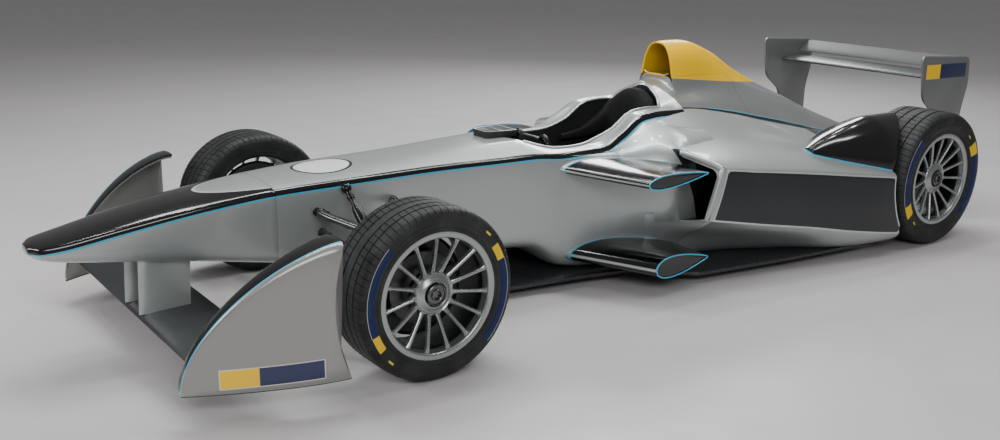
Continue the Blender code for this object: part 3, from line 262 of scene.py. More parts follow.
def bead(name, path, radius, closed=False, flat=1.0, steps=8, across=(0.0, 0.0, 1.0)):
    """A thin trim swept along a path; flat squeezes it along the across direction."""
    points = [Vector(p) for p in path]
    count = len(points)
    rings = []
    for i, centre in enumerate(points):
        ahead = points[(i + 1) % count] if closed or i < count - 1 else centre
        behind = points[i - 1] if closed or i > 0 else centre
        forward = (ahead - behind).normalized()
        side = forward.cross(Vector(across)).normalized()
        up = side.cross(forward).normalized()
        size = radius(i / (count - 1)) if callable(radius) else radius
        ring = []
        for k in range(steps):
            angle = 2.0 * math.pi * k / steps
            ring.append(centre + size * (math.cos(angle) * side + flat * math.sin(angle) * up))
        rings.append(ring)
    if closed:
        rings.append(rings[0])
    piece = grid_piece(name, rings)
    smooth(piece, 60.0)
    return piece


def copy_of(node):
    """A separate copy of a CAD node, with its loose triangles merged into clean faces."""
    source = frame["nodes"][node]
    piece = source.copy()
    piece.data = source.data.copy()
    named(piece, node + "_shell")
    piece.parent = None
    del piece["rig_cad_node"]
    link(piece)
    edit(piece, "VERT")
    choose_all()
    bpy.ops.mesh.remove_doubles(threshold=1e-5)
    bpy.ops.mesh.tris_convert_to_quads(face_threshold=math.radians(4), shape_threshold=math.radians(60))
    bpy.ops.mesh.dissolve_limited(angle_limit=math.radians(0.5))
    leave_edit()
    return piece


def mirrored(piece, name):
    """The same piece on the car's right side, with its own mesh."""
    mesh = piece.data.copy()
    mesh.name = name
    mesh.transform(Matrix.Scale(-1.0, 4, (0.0, 1.0, 0.0)))
    mesh.flip_normals()
    return link(bpy.data.objects.new(name, mesh))


def join_pieces(pieces, name):
    deselect()
    for piece in pieces:
        piece.select_set(True)
    bpy.context.view_layer.objects.active = pieces[0]
    if len(pieces) > 1:
        bpy.ops.object.join()
    return named(bpy.context.object, name)


def paint(piece, *materials):
    piece.data.materials.clear()
    for material in materials:
        piece.data.materials.append(material)
    return piece


def settle(piece, body, slot, *nodes):
    """Parent a piece to the body that carries it and hide the nodes that it stands for; the slot is not used.
    """
    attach(piece, body)
    if nodes:
        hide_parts(*nodes)


def settle_pair(left, body, slot, *stems):
    """Settle a left piece and its mirrored right one."""
    right = mirrored(left, left.name.replace("_left", "_right"))
    bodies = body if isinstance(body, tuple) else (body, body)
    settle(left, bodies[0], slot, *[stem + "_left" for stem in stems])
    settle(right, bodies[1], slot, *[stem + "_right" for stem in stems])


def cut_with(piece, tool, operation="DIFFERENCE"):
    """Cut a piece with a tool; the faces that the tool leaves keep the tool's finish."""
    apply(piece, "BOOLEAN", operation=operation, solver="MANIFOLD", material_mode="TRANSFER", object=tool)
    bpy.data.objects.remove(tool, do_unlink=True)


# Smooth lines through a table's rows

def read_row(table, x):
    """All columns of a table at x, on smooth lines that don't overshoot."""
    rows = np.array(table, float)
    order = np.argsort(rows[:, 0])
    rows = rows[order]
    places, values = rows[:, 0], rows[:, 1:]
    x = min(max(x, places[0]), places[-1])
    i = min(max(int(np.searchsorted(places, x)) - 1, 0), len(places) - 2)
    steps = np.diff(places)
    slopes = np.diff(values, axis=0) / steps[:, None]

    def tangent(k):
        if k == 0:
            return slopes[0]
        if k == len(places) - 1:
            return slopes[-1]
        a, b = slopes[k - 1], slopes[k]
        same = a * b > 0.0
        safe = np.where(same, a + b, 1.0)
        return np.where(same, 2.0 * a * b / safe, 0.0)

    h = steps[i]
    t = (x - places[i]) / h
    first, second = values[i], values[i + 1]
    m0, m1 = tangent(i) * h, tangent(i + 1) * h
    return ((2 * t**3 - 3 * t**2 + 1) * first + (t**3 - 2 * t**2 + t) * m0
            + (-2 * t**3 + 3 * t**2) * second + (t**3 - t**2) * m1)


def smooth_line(points, steps, ghosts=None):
    """A centripetal curve through points, with the given number of steps in each span."""
    line = [np.array(p, float) for p in points]
    first = np.array(ghosts[0]) if ghosts else 2 * line[0] - line[1]
    last = np.array(ghosts[1]) if ghosts else 2 * line[-1] - line[-2]
    line = [first] + line + [last]
    result = []
    for i in range(1, len(line) - 2):
        p = line[i - 1:i + 3]
        t = [0.0]
        for a, b in zip(p, p[1:]):
            t.append(t[-1] + max(np.linalg.norm(b - a), 1e-6) ** 0.5)
        for k in range(steps):
            u = t[1] + (t[2] - t[1]) * k / steps
            a1 = ((t[1] - u) * p[0] + (u - t[0]) * p[1]) / (t[1] - t[0])
            a2 = ((t[2] - u) * p[1] + (u - t[1]) * p[2]) / (t[2] - t[1])
            a3 = ((t[3] - u) * p[2] + (u - t[2]) * p[3]) / (t[3] - t[2])
            b1 = ((t[2] - u) * a1 + (u - t[0]) * a2) / (t[2] - t[0])
            b2 = ((t[3] - u) * a2 + (u - t[1]) * a3) / (t[3] - t[1])
            result.append(((t[2] - u) * b1 + (u - t[1]) * b2) / (t[2] - t[1]))
    result.append(line[-2])
    return result


def arc_lengths(points, zero):
    """Length along a line of points, counted from the point with index zero."""
    run = [0.0]
    for a, b in zip(points, points[1:]):
        run.append(run[-1] + float(np.linalg.norm(np.array(b) - np.array(a))))
    return [value - run[zero] for value in run]


# Finishes

def new_finish(name, colour, roughness, metallic=0.0, coat=0.0, coat_roughness=0.06):
    material = bpy.data.materials.new(name)
    material.use_nodes = True
    shader = material.node_tree.nodes["Principled BSDF"]
    shader.inputs["Base Color"].default_value = (*colour, 1.0)
    shader.inputs["Roughness"].default_value = roughness
    shader.inputs["Metallic"].default_value = metallic
    shader.inputs["Coat Weight"].default_value = coat
    shader.inputs["Coat Roughness"].default_value = coat_roughness
    material.diffuse_color = (*colour, 1.0)
    return material


def socket_in(material, socket, value):
    """Link a socket to another one, or set its value."""
    if isinstance(value, bpy.types.NodeSocket):
        material.node_tree.links.new(value, socket)
    elif isinstance(value, tuple) and len(value) == 3 and len(socket.default_value) == 4:
        socket.default_value = (*value, 1.0)
    else:
        socket.default_value = value


def put(material, kind, inputs=None, **settings):
    """Add a node with its settings and inputs."""
    node = material.node_tree.nodes.new(kind)
    for key, value in settings.items():
        setattr(node, key, value)
    for key, value in (inputs or {}).items():
        socket_in(material, node.inputs[key], value)
    return node


def reckon(material, operation, first, second=0.0, third=0.0):
    node = put(material, "ShaderNodeMath", {0: first, 1: second, 2: third}, operation=operation)
    return node.outputs[0]


def plus(material, first, second):
    return reckon(material, "ADD", first, second)


def minus(material, first, second):
    return reckon(material, "SUBTRACT", first, second)


def times(material, first, second):
    return reckon(material, "MULTIPLY", first, second)


def reach_of(material, first, second):
    """Length of a vector on a plane."""
    square = plus(material, times(material, first, first), times(material, second, second))
    return reckon(material, "SQRT", square)


def rescale(material, value, low, high, to_low=0.0, to_high=1.0):
    node = put(material, "ShaderNodeMapRange", {
        "Value": value, "From Min": low, "From Max": high, "To Min": to_low, "To Max": to_high})
    return node.outputs["Result"]


def within(material, value, low, high, soft=0.0006):
    """One between low and high, nought outside."""
    rise = rescale(material, value, low - soft, low + soft)
    fall = rescale(material, value, high - soft, high + soft, 1.0, 0.0)
    return times(material, rise, fall)


def mix_colour(material, mask, below, above):
    node = put(material, "ShaderNodeMix", {"Factor": mask}, data_type="RGBA")
    socket_in(material, node.inputs[6], below)
    socket_in(material, node.inputs[7], above)
    return node.outputs[2]


def mix_value(material, mask, below, above):
    node = put(material, "ShaderNodeMix", {"Factor": mask}, data_type="FLOAT")
    socket_in(material, node.inputs[2], below)
    socket_in(material, node.inputs[3], above)
    return node.outputs[0]


def place_xyz(material):
    """The three parts of the point's place on the car."""
    texture = put(material, "ShaderNodeTexCoord")
    parts = put(material, "ShaderNodeSeparateXYZ", {0: texture.outputs["Object"]})
    return parts.outputs[0], parts.outputs[1], parts.outputs[2]


def marks_uv(material):
    """The two numbers that a skin's marks give."""
    uv = put(material, "ShaderNodeUVMap", uv_map="marks")
    parts = put(material, "ShaderNodeSeparateXYZ", {0: uv.outputs["UV"]})
    return parts.outputs[0], parts.outputs[1]


def grain(material, scale, low, high, detail=3.0):
    """Noise on the piece's own place, between low and high."""
    texture = put(material, "ShaderNodeTexCoord")
    noise = put(material, "ShaderNodeTexNoise", {
        "Vector": texture.outputs["Object"], "Scale": scale, "Detail": detail})
    return rescale(material, noise.outputs["Fac"], 0.3, 0.7, low, high)


def bump(material, height, strength, distance):
    inputs = {"Height": height, "Strength": strength, "Distance": distance}
    return put(material, "ShaderNodeBump", inputs).outputs[0]


def wire_up(material, **sockets):
    """Link or set the shader's sockets, named with underscores for spaces."""
    shader = material.node_tree.nodes["Principled BSDF"]
    for key, value in sockets.items():
        socket_in(material, shader.inputs[key.replace("_", " ")], value)
    return material


SILVER_COLOUR = (0.45, 0.485, 0.48)
BLACK_COLOUR = (0.003, 0.003, 0.0035)
CYAN_COLOUR = (0.03, 0.46, 0.72)
WHITE_COLOUR = (0.86, 0.86, 0.85)
YELLOW_COLOUR = (1.0, 0.60, 0.0)
GRAPHITE_COLOUR = (0.026, 0.029, 0.032)
BLUE_COLOUR = (0.006, 0.015, 0.075)


def paint_bump(material):
    """The faint ripple of sprayed and polished paint."""
    return bump(material, grain(material, 260.0, 0.0, 1.0, 2.0), 0.025, 0.0006)


SILVER_METAL = 0.62


def silver_base(material):
    """Silver flake paint: its colour, roughness and metal share."""
    flakes = grain(material, 1500.0, 0.94, 1.06, 1.0)
    drift = grain(material, 1.7, 0.97, 1.03, 2.0)
    share = times(material, flakes, drift)
    hue = put(material, "ShaderNodeHueSaturation", {"Value": share, "Color": SILVER_COLOUR})
    rough = grain(material, 900.0, 0.34, 0.42, 1.0)
    return hue.outputs[0], rough, SILVER_METAL


def painted(name, areas, coat=0.55, shine=0.5):
    """Silver paint with painted areas; each area is (mask maker, colour, roughness, metal)."""
    material = new_finish(name, SILVER_COLOUR, 0.38, SILVER_METAL, coat, 0.07)
    shader = material.node_tree.nodes["Principled BSDF"]
    shader.inputs["Specular IOR Level"].default_value = shine
    colour, rough, metal = silver_base(material)
    for make_mask, area_colour, area_rough, area_metal in areas:
        mask = make_mask(material)
        colour = mix_colour(material, mask, colour, area_colour)
        rough = mix_value(material, mask, rough, area_rough)
        metal = mix_value(material, mask, metal, area_metal)
    return wire_up(material, Base_Color=colour, Roughness=rough, Metallic=metal,
                   Normal=paint_bump(material))


def gloss(colour):
    return colour, 0.16, 0.0


def ellipse_reach(material, centre, radii):
    """How far out of an ellipse on the car's plan a point lies; one is on its edge."""
    x, y, _ = place_xyz(material)
    along = reckon(material, "DIVIDE", minus(material, x, centre[0]), radii[0])
    across = reckon(material, "DIVIDE", minus(material, y, centre[1]), radii[1])
    return reach_of(material, along, across)


def from_axle(material, axle):
    """Where a point lies round an axle: ahead of it, above it, and its radius."""
    x, _, z = place_xyz(material)
    ahead = minus(material, x, axle["axle_x"])
    above = minus(material, z, axle["diameter"] / 2)
    return ahead, above, reach_of(material, ahead, above)


THREADS_PER_METRE = 420.0


def weave(material, dark, light):
    """Twill weave on the piece's own place: colour and height."""
    x, y, z = place_xyz(material)
    across = plus(material, y, times(material, z, 0.7))
    first = times(material, x, THREADS_PER_METRE)
    second = times(material, across, THREADS_PER_METRE)
    cell = plus(material, reckon(material, "FLOOR", first), reckon(material, "FLOOR", second))
    over = reckon(material, "GREATER_THAN", reckon(material, "WRAP", cell, 4.0, 0.0), 1.5)
    thread = mix_value(material, over, reckon(material, "PINGPONG", first, 0.5),
                       reckon(material, "PINGPONG", second, 0.5))
    return mix_colour(material, over, dark, light), thread


def carbon_finish(name, coat, roughness, dark=(0.013, 0.014, 0.015), light=(0.030, 0.032, 0.035)):
    material = new_finish(name, dark, roughness, 0.0, coat, 0.12)
    colour, thread = weave(material, dark, light)
    rough = grain(material, 6.0, roughness - 0.05, roughness + 0.08, 3.0)
    return wire_up(material, Base_Color=colour, Roughness=rough,
                   Normal=bump(material, thread, 0.12, 0.0004))


def metal_finish(name, colour, roughness, metallic, scale=500.0, strength=0.05):
    """Cast or machined metal with a fine grain and slight stains."""
    material = new_finish(name, colour, roughness, metallic)
    stain = grain(material, 9.0, 0.90, 1.08, 4.0)
    hue = put(material, "ShaderNodeHueSaturation", {"Value": stain, "Color": colour})
    rough = grain(material, scale * 0.3, roughness - 0.06, roughness + 0.06, 3.0)
    return wire_up(material, Base_Color=hue.outputs[0], Roughness=rough,
                   Normal=bump(material, grain(material, scale, 0.0, 1.0), strength, 0.0005))


def rubber_finish(name, roughness, dust, areas=(), tone=1.0):
    """Black rubber with a fine grain and a little grey dust."""
    material = new_finish(name, (0.02, 0.02, 0.02), roughness)
    material.node_tree.nodes["Principled BSDF"].inputs["Specular IOR Level"].default_value = 0.35
    black = tuple(c * tone for c in (0.006, 0.0063, 0.0067))
    grey = tuple(c * tone for c in (0.045, 0.047, 0.047))
    colour = mix_colour(material, grain(material, 14.0, 0.0, dust, 5.0), black, grey)
    for make_mask, area_colour in areas:
        colour = mix_colour(material, make_mask(material), colour, area_colour)
    rough = grain(material, 30.0, roughness - 0.08, roughness + 0.08, 3.0)
    return wire_up(material, Base_Color=colour, Roughness=rough,
                   Normal=bump(material, grain(material, 900.0, 0.0, 1.0), 0.10, 0.0006))


def turned_finish(name, colour, roughness, axle, metallic, rings):
    """Metal with the fine round marks of a lathe about an axle."""
    material = new_finish(name, colour, roughness, metallic)
    radius = from_axle(material, axle)[2]
    wave = put(material, "ShaderNodeTexNoise", {
        "Vector": times(material, radius, rings), "Scale": 1.0, "Detail": 2.0})
    tone = rescale(material, wave.outputs["Fac"], 0.3, 0.7, 0.86, 1.12)
    hue = put(material, "ShaderNodeHueSaturation", {"Value": tone, "Color": colour})
    rough = rescale(material, wave.outputs["Fac"], 0.3, 0.7, roughness - 0.07, roughness + 0.07)
    return wire_up(material, Base_Color=hue.outputs[0], Roughness=rough,
                   Normal=bump(material, wave.outputs["Fac"], 0.06, 0.0003))


# Masks for painted areas. The marks of a body skin are the place along the car and the height over
# an edge of the skin; those of a winglet are the way out from the flank and the share of the chord.

FIRST, SECOND = 0, 1


def mark_band(mark, low, high, soft=0.0006):
    """A mask where one of the skin's marks lies between low and high."""
    return lambda material: within(material, marks_uv(material)[mark], low, high, soft)


def level_band(low, high):
    """A mask between two heights over the ground."""
    return lambda material: within(material, place_xyz(material)[2], low, high)


def plan_ring(ellipse, low, high, soft, other):
    """A mask of a ring of an ellipse on the car's plan, where another mask holds too."""
    def mask(material):
        ring = within(material, ellipse_reach(material, **ellipse), low, high, soft)
        return times(material, ring, other(material))
    return mask


# The body's black band below the edge of its deck, with a cyan line under it
BAND_WIDTH = 0.031
LINE_WIDTH = 0.0065
NOSE_PANEL = dict(centre=(1.30, 0.0), radii=(0.58, 0.185))
NUMBER_DISC = dict(centre=(1.330, 0.0), radii=(0.116, 0.112))

everywhere = level_band(-1.0, 2.0)
side_band = mark_band(SECOND, -BAND_WIDTH, 0.0)
side_line = mark_band(SECOND, -BAND_WIDTH - LINE_WIDTH, -BAND_WIDTH)
nose_top = mark_band(SECOND, -BAND_WIDTH, 1.0)
disc_face = plan_ring(NUMBER_DISC, -1.0, 1.0, 0.006, level_band(0.5, 2.0))
disc_line = plan_ring(NUMBER_DISC, 1.0, 1.11, 0.006, level_band(0.5, 2.0))
# The silver deck inside the nose's black rim, and a pale line painted on that rim as a highlight
deck_area = plan_ring(NOSE_PANEL, -1.0, 1.0, 0.004, mark_band(SECOND, 0.0, 1.0))
deck_highlight_line = plan_ring(NOSE_PANEL, 0.975, 1.0, 0.003, mark_band(SECOND, 0.004, 1.0))


# Body skins

# Sections of the nose and the tub: x, keel half width, keel z, chine half width, chine z,
# flank half width, flank z, shoulder half width, shoulder z, fillet half width, fillet z,
# band half width, band z, rim half width, rim z, crown z.
BODY_SECTIONS = (
    (2.500, 0.022, 0.458, 0.040, 0.464, 0.050, 0.474, 0.046, 0.486,
     0.042, 0.4895, 0.036, 0.491, 0.018, 0.494, 0.495),
    (2.470, 0.050, 0.443, 0.082, 0.452, 0.096, 0.468, 0.094, 0.487,
     0.089, 0.493, 0.080, 0.496, 0.044, 0.501, 0.503),
    (2.380, 0.070, 0.424, 0.108, 0.438, 0.124, 0.462, 0.120, 0.497,
     0.115, 0.505, 0.106, 0.509, 0.060, 0.517, 0.520),
    (2.200, 0.086, 0.398, 0.124, 0.415, 0.143, 0.450, 0.142, 0.526,
     0.137, 0.536, 0.128, 0.541, 0.074, 0.552, 0.556),
    (1.900, 0.098, 0.350, 0.146, 0.372, 0.167, 0.420, 0.168, 0.568,
     0.163, 0.579, 0.153, 0.585, 0.090, 0.599, 0.604),
    (1.620, 0.115, 0.300, 0.176, 0.330, 0.190, 0.430, 0.187, 0.593,
     0.182, 0.605, 0.171, 0.611, 0.100, 0.623, 0.628),
    (1.320, 0.130, 0.245, 0.200, 0.285, 0.214, 0.420, 0.213, 0.603,
     0.208, 0.616, 0.197, 0.622, 0.115, 0.636, 0.641),
    (0.950, 0.150, 0.215, 0.215, 0.252, 0.227, 0.400, 0.223, 0.608,
     0.218, 0.621, 0.207, 0.627, 0.122, 0.649, 0.655),
    (0.600, 0.190, 0.200, 0.252, 0.232, 0.266, 0.380, 0.262, 0.610,
     0.257, 0.623, 0.245, 0.629, 0.140, 0.662, 0.672),
    (0.430, 0.215, 0.185, 0.276, 0.215, 0.291, 0.360, 0.278, 0.611,
     0.273, 0.624, 0.261, 0.630, 0.150, 0.666, 0.678),
    (0.260, 0.270, 0.085, 0.306, 0.130, 0.318, 0.350, 0.294, 0.600,
     0.288, 0.609, 0.275, 0.617, 0.200, 0.630, 0.668),
    (0.050, 0.300, KEEL_Z, 0.338, 0.105, 0.362, 0.340, 0.330, 0.594,
     0.297, 0.600, 0.283, 0.618, 0.206, 0.624, 0.680),
    (-0.100, 0.320, KEEL_Z, 0.356, 0.100, 0.428, 0.330, 0.400, 0.604,
     0.284, 0.634, 0.270, 0.672, 0.200, 0.664, 0.700),
    (-0.240, 0.350, KEEL_Z, 0.400, 0.100, 0.492, 0.300, 0.492, 0.606,
     0.280, 0.704, 0.254, 0.742, 0.190, 0.745, 0.760),
    (-0.340, 0.370, KEEL_Z, 0.430, 0.100, 0.505, 0.280, 0.505, 0.606,
     0.286, 0.716, 0.258, 0.750, 0.178, 0.752, 0.790),
    (-0.440, 0.383, KEEL_Z, 0.437, 0.100, 0.509, 0.280, 0.509, 0.602,
     0.288, 0.716, 0.261, 0.748, 0.166, 0.745, 0.830),
    (TUB_END_X, 0.390, KEEL_Z, 0.440, 0.100, 0.510, 0.280, 0.510, 0.600,
     0.288, 0.716, 0.262, 0.746, 0.150, 0.806, 0.842),
)
SPAN_STEPS = 6
BAND_SPAN = 6


def body_half(x, grow=0.0):
    """Smooth half section of the nose and tub at x, keel to crown, with its lengths from the band."""
    row = read_row(BODY_SECTIONS, x)
    keel, keel_z, chine, chine_z, flank, flank_z, shoulder, shoulder_z = row[:8]
    fillet, fillet_z, band, band_z, rim, rim_z, crown_z = row[8:]
    points = [
        (0.0, keel_z - grow), (keel, keel_z - grow), (chine + grow, chine_z - grow),
        (flank + grow, flank_z), (shoulder + grow, shoulder_z + grow),
        (fillet + grow, fillet_z + grow), (band + grow, band_z + grow), (rim, rim_z + grow),
        (0.0, crown_z + grow),
    ]
    ghosts = ((-keel, keel_z - grow), (-rim, rim_z + grow))
    line = smooth_line(points, SPAN_STEPS, ghosts)
    return line, arc_lengths(line, BAND_SPAN * SPAN_STEPS)


def whole_ring(x, half):
    """A ring across the car from a half section that runs from the keel to the crown."""
    left = [(x, p[0], p[1]) for p in half]
    right = [(x, -p[0], p[1]) for p in reversed(half[1:-1])]
    return left + right


def ring_marks(x, heights):
    left = [(x, h) for h in heights]
    right = [(x, h) for h in reversed(heights[1:-1])]
    return left + right


def body_skin(name, stations, grow=0.0):
    rings, marks = [], []
    for x in stations:
        half, heights = body_half(x, grow)
        rings.append(whole_ring(x, half))
        marks.append(ring_marks(x, heights))
    return grid_piece(name, rings, marks=marks)


def behind_inlet(material):
    """The tub's flank inside the side pod's duct."""
    x, _, z = place_xyz(material)
    ahead = times(material, minus(material, 0.605, z), 0.40)
    depth = plus(material, plus(material, x, 0.245), ahead)
    inside = within(material, depth, -1.0, 0.0, 0.0010)
    return times(material, inside, within(material, z, 0.252, 0.610))


NOSE_PAINT = painted("nose_paint", (
    (nose_top, *gloss(BLACK_COLOUR)),
    (deck_area, SILVER_COLOUR, 0.38, SILVER_METAL),
    # painted highlight: a pale line round the silver deck
    (deck_highlight_line, (0.62, 0.62, 0.61), 0.3, 0.2),
    (side_line, *gloss(CYAN_COLOUR)),
))
TUB_PAINT = painted("tub_paint", (
    (side_band, *gloss(BLACK_COLOUR)),
    (side_line, *gloss(CYAN_COLOUR)),
    (disc_line, *gloss(BLACK_COLOUR)),
    (disc_face, WHITE_COLOUR, 0.3, 0.0),
    (behind_inlet, BLACK_COLOUR, 0.5, 0.0),
))
SILVER_PAINT = painted("silver_paint", ())
YELLOW_COAT = (YELLOW_COLOUR, 0.34, 0.0)
COCKPIT_CARBON = carbon_finish("cockpit_carbon", coat=0.1, roughness=0.5, dark=(0.008, 0.008, 0.009),
                               light=(0.016, 0.017, 0.018))


def build_nose():
    run = np.linspace(0.0, 1.0, 64) ** 1.35
    stations = [NOSE_FRONT_X - (NOSE_FRONT_X - NOSE_JOINT_X - SEAT_GAP) * t for t in run]
    tip = body_half(stations[0])
    rings, marks = [], []
    middle_z = 0.4765
    for share, x in ((0.35, 2.5055), (0.72, 2.5045), (0.93, 2.5025)):
        half = [(p[0] * share, middle_z + (p[1] - middle_z) * share) for p in tip[0]]
        rings.append(whole_ring(x, half))
        marks.append(ring_marks(x, tip[1]))
    for x in stations:
        half, heights = body_half(x)
        rings.append(whole_ring(x, half))
        marks.append(ring_marks(x, heights))
    nose = grid_piece("nose_skin", rings, marks=marks)
    round_edges(nose, 0.0015, 2)
    settle(paint(nose, NOSE_PAINT), "chassis", "silver_paint", "nose_cone")


PYLON_PLAN = ((0.000, 0.000), (0.012, 0.36), (0.04, 0.50), (0.10, 0.48), (0.17, 0.28), (0.20, 0.06))


def build_pylons():
    """The two blades that carry the front wing, with a flared root under the nose."""
    top_z, low_z, thickness = 0.415, 0.178, 0.018
    rings = []
    for step in range(15):
        share = step / 14
        z = low_z + (top_z - low_z) * share
        flare = 1.0 + 1.6 * max(share - 0.72, 0.0) ** 2 * 12.0
        lead = 2.135 + 0.012 * (1.0 - share)
        half = [(lead - back, y * thickness * flare) for back, y in PYLON_PLAN]
        ring = half + [(x, -y) for x, y in reversed(half[1:])]
        rings.append([(x, 0.085 + y, z) for x, y in ring])
    pylon = grid_piece("pylon_left", rings)
    smooth(pylon, 40.0)
    paint(pylon, SILVER_PAINT)
    twin = mirrored(pylon, "pylon_right")
    settle(pylon, "chassis", "silver_paint", "nose_cone")
    settle(twin, "chassis", "silver_paint", "nose_cone")


# Cockpit opening: x, half width.
COCKPIT_OUTLINE = (
    (0.462, 0.030), (0.445, 0.075), (0.405, 0.132), (0.350, 0.174), (0.290, 0.196), (0.220, 0.208),
    (0.140, 0.206), (0.070, 0.192), (0.000, 0.174), (-0.120, 0.170), (-0.280, 0.168),
    (-0.380, 0.164), (-0.432, 0.153), (-0.462, 0.115), (-0.471, 0.050),
)
# Cockpit floor: x, z.
COCKPIT_FLOOR = (
    (0.480, 0.290), (0.320, 0.240), (0.220, 0.180), (0.120, 0.140), (0.020, 0.130), (-0.440, 0.130),
)


def cockpit_line(steps):
    """The opening's outline on the left, front to back, as (x, half width)."""
    return [(x, y) for x, y in smooth_line(COCKPIT_OUTLINE, steps)]


def height_at(half, y):
    """Height of the top of a half section at a half width y."""
    top = [p for p in half if p[1] > half[0][1] + 0.25]
    top = sorted(((p[0], p[1]) for p in top), key=lambda p: p[0])
    return float(np.interp(y, [p[0] for p in top], [p[1] for p in top]))


def soften(piece, chosen, repeat):
    """Even out the skin where a test of the point's place is true."""
    edit(piece, "VERT")
    bpy.ops.mesh.select_all(action="DESELECT")
    leave_edit()
    for vertex in piece.data.vertices:
        vertex.select = chosen(vertex.co)
    bpy.ops.object.mode_set(mode="EDIT")
    bpy.ops.mesh.vertices_smooth(factor=0.5, repeat=repeat)
    leave_edit()


def build_tub():
    stations = list(np.linspace(NOSE_JOINT_X - SEAT_GAP, TUB_END_X, 130))
    tub = body_skin("tub_skin", stations)
    left = cockpit_line(5)
    plan = left + [(x, -y) for x, y in reversed(left)]
    levels = []
    for inset, rise in ((0.94, 0.0), (0.985, 0.012), (1.0, 0.035)):
        levels.append([(x, y * inset, float(read_row(COCKPIT_FLOOR, x)[0]) + rise) for x, y in plan])
    levels.append([(x, y, 1.1) for x, y in plan])
    cutter = grid_piece("cockpit_space", levels)
    footwell = grid_piece("footwell_space", [
        [(x, -w, low), (x, w, low), (x, w, high), (x, -w, high)]
        for x, w, low, high in ((0.40, 0.165, 0.275, 0.570), (1.18, 0.125, 0.300, 0.540))
    ])
    paint(tub, TUB_PAINT)
    halves = [body_half(x) for x in stations]

    def below_band(point):
        """Does a point lie on the swelling flank, clear of the painted band?"""
        x, y, z = point[0], abs(point[1]), point[2]
        if not (-0.335 < x < 0.0 and y > 0.24 and z > 0.36):
            return False
        half, heights = halves[int(np.argmin(np.abs(np.array(stations) - x)))]
        nearest = min(range(len(half)), key=lambda i: math.hypot(half[i][0] - y, half[i][1] - z))
        return heights[nearest] < -BAND_WIDTH - LINE_WIDTH - 0.014

    soften(tub, below_band, 16)
    for tool in (cutter, footwell):
        paint(tool, COCKPIT_CARBON)
        cut_with(tub, tool)
    smooth(tub, 30.0)
    settle(tub, "chassis", "silver_paint", "monocoque")


def build_cockpit_lip():
    """The rounded bright lip round the cockpit's opening."""
    left = [p for p in cockpit_line(4) if p[0] < 0.40]
    path = []
    for x, y in left:
        half, _ = body_half(x)
        path.append((x, y + 0.004, height_at(half, y + 0.004) + 0.001))
    lip = bead("cockpit_lip_left", path, 0.0085, flat=0.75, steps=12)
    settle(paint(lip, SILVER_PAINT), "chassis", "silver_paint")
    settle(mirrored(lip, "cockpit_lip_right"), "chassis", "silver_paint")


# Engine cover: x, side z low, side half width, deck z, hip half width, hip z, waist half width,
# waist z, spine half width, spine z, crown z. The brow is its part ahead of the air box's mouth.
BROW_SECTIONS = (
    (TUB_END_X - SEAT_GAP, 0.50, 0.250, 0.744, 0.205, 0.780, 0.148, 0.807, 0.090, 0.830, 0.842),
    (-0.530, 0.50, 0.250, 0.741, 0.207, 0.776, 0.146, 0.806, 0.094, 0.836, 0.850),
    (-0.548, 0.50, 0.250, 0.739, 0.208, 0.773, 0.144, 0.804, 0.096, 0.842, 0.858),
    (-0.560, 0.50, 0.250, 0.738, 0.208, 0.771, 0.142, 0.803, 0.097, 0.872, 0.884),
)
COVER_SECTIONS = (
    (-0.560, 0.50, 0.250, 0.738, 0.208, 0.771, 0.142, 0.803, 0.084, 0.985, 1.045),
    (-0.620, 0.50, 0.250, 0.730, 0.207, 0.766, 0.138, 0.800, 0.094, 0.985, 1.049),
    (-0.700, 0.50, 0.250, 0.718, 0.205, 0.760, 0.136, 0.806, 0.098, 0.982, 1.048),
    (-0.880, 0.50, 0.250, 0.683, 0.200, 0.733, 0.130, 0.810, 0.085, 0.930, 0.995),
    (-1.100, 0.48, 0.250, 0.630, 0.195, 0.690, 0.115, 0.770, 0.062, 0.830, 0.876),
    (-1.300, 0.44, 0.250, 0.585, 0.185, 0.640, 0.110, 0.710, 0.050, 0.755, 0.785),
    (-1.500, 0.42, 0.235, 0.540, 0.165, 0.590, 0.100, 0.645, 0.045, 0.685, 0.706),
    (-1.780, 0.42, 0.190, 0.490, 0.135, 0.530, 0.085, 0.560, 0.040, 0.580, 0.590),
    (-2.060, 0.41, 0.120, 0.445, 0.100, 0.465, 0.070, 0.480, 0.035, 0.487, 0.490),
)
MOUTH_X = -0.560
# Joint of the cover and the air box: two straight cuts, each x, z and slope.
AIRBOX_JOINT = ((-0.40, 0.884, 0.032), (-0.90, 0.868, 0.2977))


def cover_half(x):
    """Half section of the engine cover and air box from its foot to its crown."""
    table = COVER_SECTIONS if x <= MOUTH_X else BROW_SECTIONS
    low, side, deck, hip, hip_z, waist, waist_z, top, top_z, crown = read_row(table, x)
    brow, brow_z = top * 0.55, crown - (crown - top_z) * 0.17
    line = smooth_line(
        [(side, deck), (hip, hip_z), (waist, waist_z), (top, top_z), (brow, brow_z), (0.0, crown)], 8,
        ghosts=((side + 0.05, deck - 0.012), (-brow, brow_z)))
    foot = [(side - 0.002, low), (side - 0.002, (low + deck) / 2), (side - 0.001, deck - 0.004)]
    line = [tuple(p) for p in line]
    return foot + line, arc_lengths(foot + line, len(foot))


def yellow_area(material):
    """The yellow upper part: above a line that falls towards the tail, behind the mouth."""
    x, _, z = place_xyz(material)
    line = plus(material, times(material, plus(material, x, 0.50), 0.115), 0.882)
    above = within(material, minus(material, z, line), 0.0, 1.0)
    return times(material, above, within(material, x, -3.0, MOUTH_X + 0.012))


def cover_limit(material, along):
    """Width of the cover's black band, which narrows to nought at the tail."""
    width = rescale(material, along, -0.55, -1.30, 0.014, 0.032)
    return times(material, width, rescale(material, along, -1.78, -1.45))


def band_on_cover(material):
    along, height = marks_uv(material)
    room = minus(material, cover_limit(material, along), height)
    below = rescale(material, room, -0.0006, 0.0006)
    return times(material, below, rescale(material, height, 0.004, 0.005))


